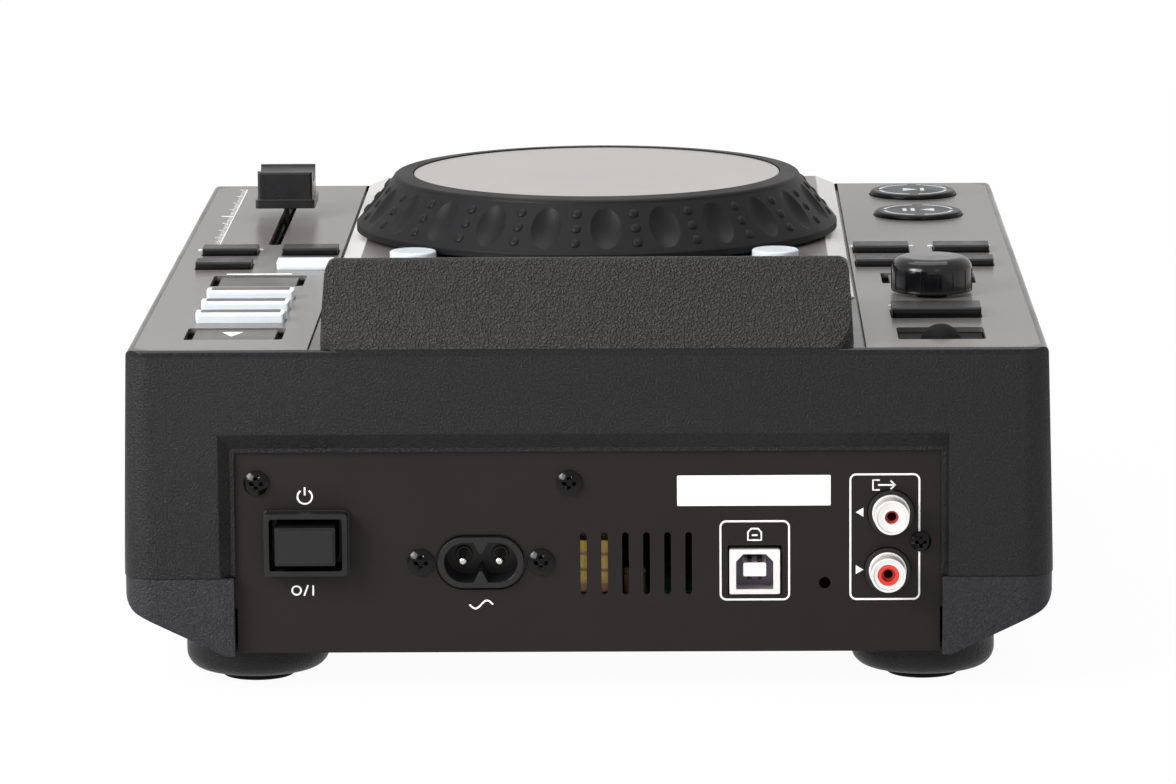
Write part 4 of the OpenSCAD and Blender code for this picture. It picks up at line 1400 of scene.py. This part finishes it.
@dataclass(frozen=True)
class Lamp:
    """A soft rectangular lamp: where it hangs, what it points at, and its watts."""

    name: str
    at: Point3
    target: Point3
    size: Point2
    power: float
    mirrored: bool = True

    def build(self) -> None:
        """Hangs the lamp, out of the camera's sight."""
        data = bpy.data.lights.new(self.name, "AREA")
        data.shape = "RECTANGLE"
        data.size, data.size_y = self.size[0] * MM, self.size[1] * MM
        data.energy = self.power
        lamp = bpy.data.objects.new(self.name, data)
        bpy.context.scene.collection.objects.link(lamp)
        lamp.location = Vector(self.at) * MM
        lamp.rotation_mode = "QUATERNION"
        aim = Vector(self.target) - Vector(self.at)
        lamp.rotation_quaternion = aim.to_track_quat("-Z", "Y")
        lamp.visible_camera = False
        lamp.visible_glossy = self.mirrored


@dataclass
class Studio:
    """A pale table without end, with soft lamps above and round the player."""

    eye: Point3 = (-23.9, 1573.5, 323.1)
    yaw: float = 0.944
    pitch: float = 9.889
    roll: float = -0.406
    lens: float = 186.95
    sensor: float = 36.0
    clip: Point2 = (50.0, 60000.0)
    table_half: float = 8000.0
    table_colour: str = "#f2f2f2"
    ambient: float = 0.42
    whiteness: float = 0.96
    lamps: tuple[Lamp, ...] = (
        Lamp("lamp_top", (100, -250, 1500), (0, 0, 60), (1500, 1100), 13.0),
        Lamp("lamp_rear", (650, 720, 520), (0, 100, 40), (500, 500), 7.4),
        Lamp("lamp_side", (430, 340, 330), (60, 110, 90), (200, 200), 1.5),
        Lamp("lamp_glint", (-450, 1500, 950), (0, 100, 60), (120, 120), 2.6),
        # The plates would mirror this one as a hard patch, so nothing mirrors it.
        Lamp("lamp_front", (-500, -1700, 700), (0, 0, 60), (900, 900), 14.0, False),
    )

    def build(self) -> None:
        """Makes the table, the light and the camera."""
        self.table()
        self.world()
        for lamp in self.lamps:
            lamp.build()
        self.camera()
        bpy.context.scene.view_settings.view_transform = "Standard"
        LOG.info("studio is ready")

    def table(self) -> None:
        """Makes the floor, white to the eye but with the player's soft shadow on it."""
        h = self.table_half
        draft = bmesh.new()
        corners = [(-h, -h), (h, -h), (h, h), (-h, h)]
        draft.faces.new([draft.verts.new((x * MM, y * MM, 0.0)) for x, y in corners])
        data = bpy.data.meshes.new("table")
        draft.to_mesh(data)
        draft.free()
        table = bpy.data.objects.new("table", data)
        bpy.context.scene.collection.objects.link(table)
        material = bpy.data.materials.new("table_white")
        material.use_nodes = True
        tree = material.node_tree
        tree.nodes.clear()
        colour = linear(self.table_colour)
        plain = add_node(tree, "ShaderNodeBsdfDiffuse", {"Color": colour})
        glow = add_node(tree, "ShaderNodeEmission", {"Strength": 1.0})
        share = add_node(
            tree,
            "ShaderNodeMath",
            {0: self.seen(tree), 1: self.whiteness},
            operation="MULTIPLY",
        ).outputs["Value"]
        mix = add_node(
            tree,
            "ShaderNodeMixShader",
            {0: share, 1: plain.outputs[0], 2: glow.outputs[0]},
        )
        add_node(tree, "ShaderNodeOutputMaterial", {"Surface": mix.outputs[0]})
        table.data.materials.append(material)

    def seen(self, tree: Tree) -> Socket:
        """One for a ray that is seen: straight, in a reflection or through glass.

        Args:
            tree: the material's tree.

        Returns:
            The socket of the number.
        """
        path = add_node(tree, "ShaderNodeLightPath")
        total = path.outputs["Is Camera Ray"]
        for name in ("Is Glossy Ray", "Is Transmission Ray"):
            total = add_node(
                tree,
                "ShaderNodeMath",
                {0: total, 1: path.outputs[name]},
                operation="MAXIMUM",
            ).outputs["Value"]
        return total

    def world(self) -> None:
        """Makes the room: white where it is seen, and a plain level of light else."""
        world = bpy.data.worlds.new("room")
        bpy.context.scene.world = world
        world.use_nodes = True
        tree = world.node_tree
        tree.nodes.clear()
        light = add_node(tree, "ShaderNodeBackground", {"Strength": self.ambient})
        white = add_node(tree, "ShaderNodeBackground", {"Strength": 1.0})
        mix = add_node(
            tree,
            "ShaderNodeMixShader",
            {0: self.seen(tree), 1: light.outputs[0], 2: white.outputs[0]},
        )
        add_node(tree, "ShaderNodeOutputWorld", {"Surface": mix.outputs[0]})

    def camera(self) -> None:
        """Puts the camera where the player is seen from behind and a little above."""
        yaw, pitch, roll = (math.radians(a) for a in (self.yaw, self.pitch, self.roll))
        ahead = Vector(
            (
                math.sin(yaw) * math.cos(pitch),
                -math.cos(yaw) * math.cos(pitch),
                -math.sin(pitch),
            )
        )
        right = ahead.cross(Vector((0, 0, 1))).normalized()
        up = right.cross(ahead)
        across = right * math.cos(roll) + up * math.sin(roll)
        above = up * math.cos(roll) - right * math.sin(roll)
        data = bpy.data.cameras.new("camera")
        data.lens = self.lens
        data.sensor_width = self.sensor
        data.clip_start, data.clip_end = (reach * MM for reach in self.clip)
        camera = bpy.data.objects.new("camera", data)
        bpy.context.scene.collection.objects.link(camera)
        turn = Matrix((across, above, -ahead)).transposed().to_4x4()
        camera.matrix_world = Matrix.Translation(Vector(self.eye) * MM) @ turn
        bpy.context.scene.camera = camera


# ---------------------------------------------------------------- the player


@dataclass
class Casing:
    """The two shells, their rubber pads and their screws."""

    def build(self) -> None:
        """Dresses the casing."""
        dress(MouldedShell(), "upper_shell")
        dress(LowerShell(), "lower_shell")
        dress(FootRubber(), "foot_pads")
        dress(BlackenedScrew(), "screws")


@dataclass
class SocketPanel:
    """The enamelled rear panel with its sockets, its signs and its bare label."""

    face: float = 139.3
    ink: float = 0.04
    line: float = 0.46
    stroke: float = 0.42
    # Frames and label as left, right, low and high edges.
    data_frame: tuple[float, float, float, float] = (-48.14, -31.72, 22.4, 41.5)
    phono_frame: tuple[float, float, float, float] = (-79.28, -62.8, 22.4, 52.8)
    frame_corner: float = 1.4
    label: tuple[float, float, float, float] = (-58.1, -21.4, 45.3, 52.7)
    label_corner: float = 0.3
    label_thick: float = 0.12
    data_at: Point2 = (-39.9, 29.25)
    # Each row of contacts: its height over the socket's middle, its size and its tip.
    contact_aside: float = 1.25
    contact_back: float = -8.6
    contact_rows: tuple[tuple[float, Point2, float], ...] = (
        (2.0, (1.15, 1.3), -1.3),
        (-2.1, (1.0, 0.3), -1.6),
    )
    phonos: tuple[Point2, Point2] = ((-72.5, 43.5), (-71.7, 29.5))
    insert_face: float = 5.4
    insert_out: float = 6.5
    # Radius and width of the ring, then how far its two ends are out of the panel.
    liner: Point2 = (1.36, 0.52)
    liner_back: float = -5.0
    lip: Point2 = (3.05, 0.9)
    lip_ends: Point2 = (-0.02, 0.12)
    # Where the signs stand.
    power_sign: Point2 = (67.7, 47.9)
    out_in_sign: Point2 = (67.7, 25.0)
    mains_sign: Point2 = (25.7, 21.4)
    data_sign: Point2 = (-39.9, 38.3)
    sound_sign: Point2 = (-71.0, 50.2)
    side_x: float = -65.0
    left_z: float = 43.6
    right_z: float = 29.6

    def build(self) -> None:
        """Dresses the panel's nodes, then adds print, label and small contacts."""
        dress(PanelPaint(), "rear_panel")
        dress(SocketPlastic(), "mains_inlet", "switch_housing", "rca_block")
        dress(SocketPlastic(), "power_button")
        dress(NickelPlate(), "inlet_pins")
        dress(PhonoSleeve(), "rca_sleeves", "usb_b_shell")
        dress(WhiteInsert(), "rca_insert_white")
        dress(SocketTongue(), "usb_b_tongue")
        dress(RedInsert(), "rca_insert_red")
        self.frames()
        self.signs()
        self.paper()
        self.contacts()
        self.liners()

    def frames(self) -> None:
        """Prints the two frames round the sockets."""
        draft = Draft(upright(self.face))
        for x0, x1, z0, z1 in (self.data_frame, self.phono_frame):
            middle = ((x0 + x1) / 2, (z0 + z1) / 2)
            w, h = x1 - x0, z1 - z0
            outer, inner = (
                rounded(w + wider, h + wider, self.frame_corner + wider / 2, middle)
                for wider in (self.line, -self.line)
            )
            draft.band(outer, inner, 0.0, self.ink)
        draft.piece("panel_frames", "body", ScreenInk())

    def signs(self) -> None:
        """Prints plain signs: power, out and in, mains, data, and left and right."""
        draft = Draft(upright(self.face))
        w, ink = self.stroke, self.ink

        def stroke(*line: Point2) -> None:
            """Prints one stroke."""
            draft.ribbon(line, w, 0.0, ink)

        # Power: an open ring with a bar in its gap.
        x, z = self.power_sign
        stroke(*arc((x, z), 1.75, 125, 415, 24))
        stroke((x, z + 0.3), (x, z + 2.3))
        # A ring for out and a bar for in, with a slanting bar between them.
        x, z = self.out_in_sign
        draft.ring((x + 2.3, z), 1.05, w, 0.0, ink)
        stroke((x + 0.5, z - 1.3), (x - 0.5, z + 1.3))
        stroke((x - 1.7, z - 1.25), (x - 1.7, z + 1.25))
        # Mains: one wave.
        x, z = self.mains_sign
        wave = [(t / 12 * 5.6 - 2.8, math.sin(math.tau * t / 12)) for t in range(13)]
        stroke(*((x + u, z + v) for u, v in wave))
        # Data: the socket's own outline with its tongue.
        x, z = self.data_sign
        low, top = z - 1.4, z + 1.4
        for side in (-1, 1):
            wall, slant = x + 1.6 * side, x + 0.8 * side
            stroke((x, low), (wall, low), (wall, z + 0.5), (slant, top), (x, top))
        stroke((x - 0.7, z - 0.2), (x + 0.7, z - 0.2))
        # Sound out: an arrow that leaves a bracket.
        x, z = self.sound_sign
        near, far, low, top = x + 1.2, x + 2.8, z - 1.2, z + 1.2
        stroke((near, low), (far, low), (far, top), (near, top))
        stroke((x + 1.6, z), (x - 2.4, z))
        stroke((x - 1.4, z + 1.0), (x - 2.5, z), (x - 1.4, z - 1.0))
        # Left and right: a filled triangle that points the way the sound goes.
        for side, z in ((1, self.left_z), (-1, self.right_z)):
            tip, base = self.side_x + 0.9 * side, self.side_x - 0.9 * side
            draft.prism([(tip, z), (base, z + 1.1), (base, z - 1.1)][::side], 0.0, ink)
        draft.piece("panel_signs", "body", ScreenInk())

    def paper(self) -> None:
        """Sticks the bare label on."""
        x0, x1, z0, z1 = self.label
        draft = Draft(upright(self.face))
        middle = ((x0 + x1) / 2, (z0 + z1) / 2)
        outline = rounded(x1 - x0, z1 - z0, self.label_corner, middle)
        draft.prism(outline, 0.0, self.label_thick)
        draft.piece("panel_label", "body", LabelPaper())

    def contacts(self) -> None:
        """Lays the data socket's four springs on the two sides of its tongue."""
        draft = Draft(upright(self.face))
        x, z = self.data_at
        for aside in (-self.contact_aside, self.contact_aside):
            for rise, size, tip in self.contact_rows:
                draft.block((x + aside, z + rise), size, self.contact_back, tip)
        draft.piece("data_contacts", "body", ContactBronze())

    def liners(self) -> None:
        """Lines each phono socket's hole with dark red, and rims its insert."""
        draft, lips = Draft(upright(self.face)), Draft(upright(self.face))
        back, front = (self.insert_out + end for end in self.lip_ends)
        for spot in self.phonos:
            draft.ring(spot, *self.liner, self.liner_back, self.insert_face)
            lips.ring(spot, *self.lip, back, front)
        draft.piece("phono_liners", "body", RedLiner())
        lips.piece("phono_lips", "body", PhonoSleeve())


@dataclass
class ControlSurface:
    """The two plates, the plateau, what the fingers touch, and plain signs on them."""

    ink: float = 0.03
    # How far an inlay or a light ring reaches down into what carries it.
    root: float = 0.02
    column: float = 85.4
    keys: tuple[tuple[str, float], ...] = (
        ("mode_key_front", 62.2),
        ("mode_key_middle", 79.8),
        ("mode_key_rear", 97.4),
    )
    inlay: Point2 = (19.5, 4.3)
    inlay_corner: float = 0.4
    inlay_ahead: float = 0.4
    bar_at: Point2 = (86.0, 22.4)
    bar: Point2 = (16.7, 1.5)
    scale_x: float = 100.0
    scale_middle: float = -81.5
    scale_reach: float = 52.0
    scale_steps: int = 20
    scale_line: float = 0.3
    # Length and width of the middle mark, of every fifth one and of the others.
    scale_marks: tuple[Point2, ...] = ((3.4, 1.1), (2.2, 0.5), (1.3, 0.5))
    lamp_r: float = 0.8
    lamp_points: int = 16
    lamps: tuple[Point2, ...] = (
        (104.3, -19.5),
        (88.4, -19.5),
        (-67.6, -21.0),
        (-83.1, -21.0),
        (-88.1, -21.0),
        (-103.4, -21.0),
        (-74.5, 78.0),
    )
    # The eject sign's middle line, its tip, its foot and half its width.
    eject_x: float = 86.2
    eject: Point3 = (119.2, 112.6, 2.6)
    knob: Point2 = (-85.4, 58.0)
    rib_count: int = 15
    rib: Point2 = (0.3, 5.4)
    rib_z: float = 87.7
    rib_r: float = 10.24
    rib_root: float = 0.6
    cue: Point2 = (-87.2, -119.0)
    play: Point2 = (-87.2, -79.3)
    # A round button's light ring in four parts: radius, width, start and sweep.
    light_ring: Point2 = (9.2, 0.8)
    light_starts: tuple[int, ...] = (8, 98, 188, 278)
    light_sweep: float = 74.0
    sign_bar: Point2 = (1.1, 5.0)
    sign_half: float = 2.6

    def build(self) -> None:
        """Dresses the plates and the controls, then adds signs, inlays and lamps."""
        dress(PlateFilm(), "control_plates")
        dress(PlateauFilm(), "jog_plate")
        bars = [
            f"{side}_bar_{row}_{place}"
            for side in ("right", "left")
            for row in ("front", "rear")
            for place in ("outer", "inner")
        ]
        white = "right_bar_rear_inner"
        dress(ButtonRubber(), *(b for b in bars if b != white))
        dress(LitKey(), white, *(key for key, _ in self.keys))
        dress(LitKey(), "right_pad_button", "left_pad_button")
        dress(ButtonRubber(), "cue_button", "play_button", "back_button")
        dress(SunkCap(), "right_sunk_button", "eject_button", "left_sunk_button")
        dress(KnobPlastic(), "browse_knob")
        dress(CapPlastic(), "fader_cap")
        dress(SocketPlastic(), "fader_lever")
        dress(FootRubber(), "usb_dust_cap")
        dress(WhiteInsert(), "encoder_plunger")
        dress(NickelPlate(), "usb_a_socket")
        dress(SocketPlastic(), "fader_body")
        self.inlays()
        self.indicator_lamps()
        self.pitch_scale()
        self.eject_sign()
        self.round_buttons()
        self.knob_ribs()

    def top(self, node: str) -> float:
        """The height of a node's top, in millimetres."""
        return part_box(node)[1].z / MM

    def inlays(self) -> None:
        """Lets a strip of grey film into the top of each white key."""
        for node, y in self.keys:
            draft = Draft()
            top = self.top(node)
            middle = (self.column, y - self.inlay_ahead)
            outline = rounded(*self.inlay, self.inlay_corner, middle)
            draft.prism(outline, top - self.root, top + self.ink)
            draft.piece(f"{node}_inlay", node, SunkCap())

    def indicator_lamps(self) -> None:
        """Sets small milky lamps into the plates, and prints a bar on the column."""
        draft = Draft()
        top = self.top("control_plates")
        r = self.lamp_r
        dome = [(r, -0.2), (r, 0.05), (0.8 * r, 0.2), (0.4 * r, 0.28), (0.05, 0.3)]
        for spot in self.lamps:
            outline = [(radius, top + z) for radius, z in dome]
            draft.turned(outline, spot, self.lamp_points)
        draft.piece("indicator_lamps", "body", LitKey())
        bar = Draft()
        bar.block(self.bar_at, self.bar, top, top + self.ink)
        bar.piece("column_bar", "body", ScreenInk())

    def pitch_scale(self) -> None:
        """Prints the fader's scale: a fine line, its steps and a longer middle mark."""
        draft = Draft()
        top = self.top("control_plates")
        high = top + self.ink
        x, y = self.scale_x, self.scale_middle
        draft.block((x, y), (self.scale_line, 2 * self.scale_reach), top, high)
        middle, fifth, other = self.scale_marks
        for step in range(-self.scale_steps, self.scale_steps + 1):
            long, wide = middle if step == 0 else fifth if step % 5 == 0 else other
            at = y + step * self.scale_reach / self.scale_steps
            draft.block((x + long / 2, at), (long, wide), top, high)
        draft.piece("pitch_scale", "body", ScreenInk())

    def eject_sign(self) -> None:
        """Prints a triangle on the sunk eject button."""
        draft = Draft()
        top = self.top("eject_button")
        x = self.eject_x
        tip, foot, half = self.eject
        corners = [(x, tip), (x - half, foot), (x + half, foot)]
        draft.prism(corners, top, top + self.ink)
        draft.piece("eject_sign", "eject_button", ScreenInk())

    def round_buttons(self) -> None:
        """Gives the two round buttons their light rings and signs."""
        radius, width = self.light_ring
        half = self.sign_half
        for node, (x, y) in (("cue_button", self.cue), ("play_button", self.play)):
            draft = Draft()
            low = self.top(node) - self.root
            high = low + self.root + self.ink
            for start in self.light_starts:
                end = start + self.light_sweep
                draft.ribbon(arc((x, y), radius, start, end, 12), width, low, high)
            if node == "play_button":
                tip, foot, bars = x - 0.4, x - 4.4, (1.5, 3.7)
            else:
                tip, foot, bars = x - 1.4, x + 2.8, (-2.6,)
            aside = math.copysign(half, tip - foot)
            draft.prism([(tip, y), (foot, y + aside), (foot, y - aside)], low, high)
            for bar in bars:
                draft.block((x + bar, y), self.sign_bar, low, high)
            draft.piece(f"{node}_sign", node, LitKey())

    def knob_ribs(self) -> None:
        """Raises the fine ribs that part the browse knob's side into flats."""
        draft = Draft()
        knob = Matrix.Translation((*self.knob, 0.0))
        # A rib is drawn across and up, and stands out along the knob's radius.
        outward = Matrix(((0, 0, 1, 0), (1, 0, 0, 0), (0, 1, 0, 0), (0, 0, 0, 1)))
        root = self.rib_r - self.rib_root
        for rib in range(self.rib_count):
            turn = Matrix.Rotation(math.tau * rib / self.rib_count, 4, "Z")
            draft.place = knob @ turn @ outward
            draft.block((0.0, self.rib_z), self.rib, root, self.rib_r)
        draft.piece("knob_ribs", "browse_knob", KnobPlastic())


@dataclass
class JogWheel:
    """The wheel: dimpled rim with pips, silver disc, and its carrier on the spindle."""

    slope_low: Point2 = (63.7, 89.0)
    slope_high: Point2 = (54.2, 100.4)
    columns: int = 24
    # The first dimple lies at 3.1 degrees, and the first pips half a step on.
    first_column: float = 3.1 + 7.5
    pip_rows: tuple[float, ...] = (-4.4, 0.0, 4.4)
    pip_r: float = 1.35
    pip_high: float = 0.45
    pip_points: int = 14
    # A pip's outline, as shares of its radius and of its height.
    pip_dome: tuple[Point2, ...] = (
        (1.0, 0.1),
        (0.85, 0.55),
        (0.5, 0.9),
    )

    def build(self) -> None:
        """Dresses the wheel and adds the pips between its dimples."""
        dress(JogPlastic(), "jog_rim", "jog_hub")
        dress(SpunAluminium(), "jog_disc")
        dress(NickelPlate(), "jog_spindle")
        self.pips()

    def seat(self, azimuth: float, along: float) -> Matrix:
        """Finds a place on the rim's slope.

        Args:
            azimuth: the turn round the wheel from +X, in degrees.
            along: the distance up the slope from its middle, in millimetres.

        Returns:
            A frame with Y up the slope and Z out of it.
        """
        low = Vector((self.slope_low[0], 0.0, self.slope_low[1]))
        high = Vector((self.slope_high[0], 0.0, self.slope_high[1]))
        up = (high - low).normalized()
        out = Vector((up.z, 0.0, -up.x))
        seat = Matrix((up.cross(out), up, out)).transposed().to_4x4()
        seat.translation = (low + high) / 2 + up * along
        turn = Matrix.Rotation(math.radians(azimuth), 4, "Z")
        return Matrix.Translation((0.0, JOG_Y, 0.0)) @ turn @ seat

    def pips(self) -> None:
        """Raises three round pips between each two dimples."""
        draft = Draft()
        r, h = self.pip_r, self.pip_high
        dome = [(r, -0.25), *((x * r, z * h) for x, z in self.pip_dome), (0.08, h)]
        for column in range(self.columns):
            azimuth = self.first_column + column * 360 / self.columns
            for along in self.pip_rows:
                draft.place = self.seat(azimuth, along)
                draft.turned(dome, (0.0, 0.0), self.pip_points)
        draft.piece("jog_pips", "jog_wheel", JogPlastic())


@dataclass
class Display:
    """The smoked window over the display in the sloping housing."""

    def build(self) -> None:
        """Dresses the window."""
        dress(SmokedAcrylic(), "display_window")


@dataclass
class Electronics:
    """The boards, their components and the transformer behind the vents."""

    def build(self) -> None:
        """Dresses the boards."""
        dress(BoardLaminate(), "circuit_boards")
        dress(BoardParts(), "board_components")
        dress(WindingTape(), "power_transformer")


@dataclass
class DiscDrive:
    """The slot-in drive and the bezel of its slot."""

    slot_y: float = -140.6
    slot_z: float = 52.8
    lip: Point2 = (123.6, 2.1)
    lip_aside: float = 1.35
    lip_half: float = 0.6

    def build(self) -> None:
        """Dresses the drive and glues the felt lips into its slot."""
        dress(SocketPlastic(), "slot_bezel", "disc_hub")
        dress(DriveSteel(), "drive_frame", "traverse", "spindle_motor")
        dress(NickelPlate(), "guide_rods", "lead_screw")
        dress(SledResin(), "pickup_sled")
        dress(FootRubber(), "feed_roller")
        self.felt()

    def felt(self) -> None:
        """Makes the two felt lips that a disc slides between."""
        draft = Draft(upright(self.slot_y))
        for side in (-1, 1):
            middle = (0.0, self.slot_z + side * self.lip_aside)
            draft.block(middle, self.lip, -self.lip_half, self.lip_half)
        draft.piece("slot_felt", "body", SlotFelt())


def main() -> None:
    """Builds the studio and each part of the player."""
    logging.basicConfig(level=logging.INFO, format="%(name)s: %(message)s")
    for part in (
        Studio(),
        Casing(),
        SocketPanel(),
        ControlSurface(),
        JogWheel(),
        Display(),
        Electronics(),
        DiscDrive(),
    ):
        part.build()


if __name__ == "__main__":
    main()
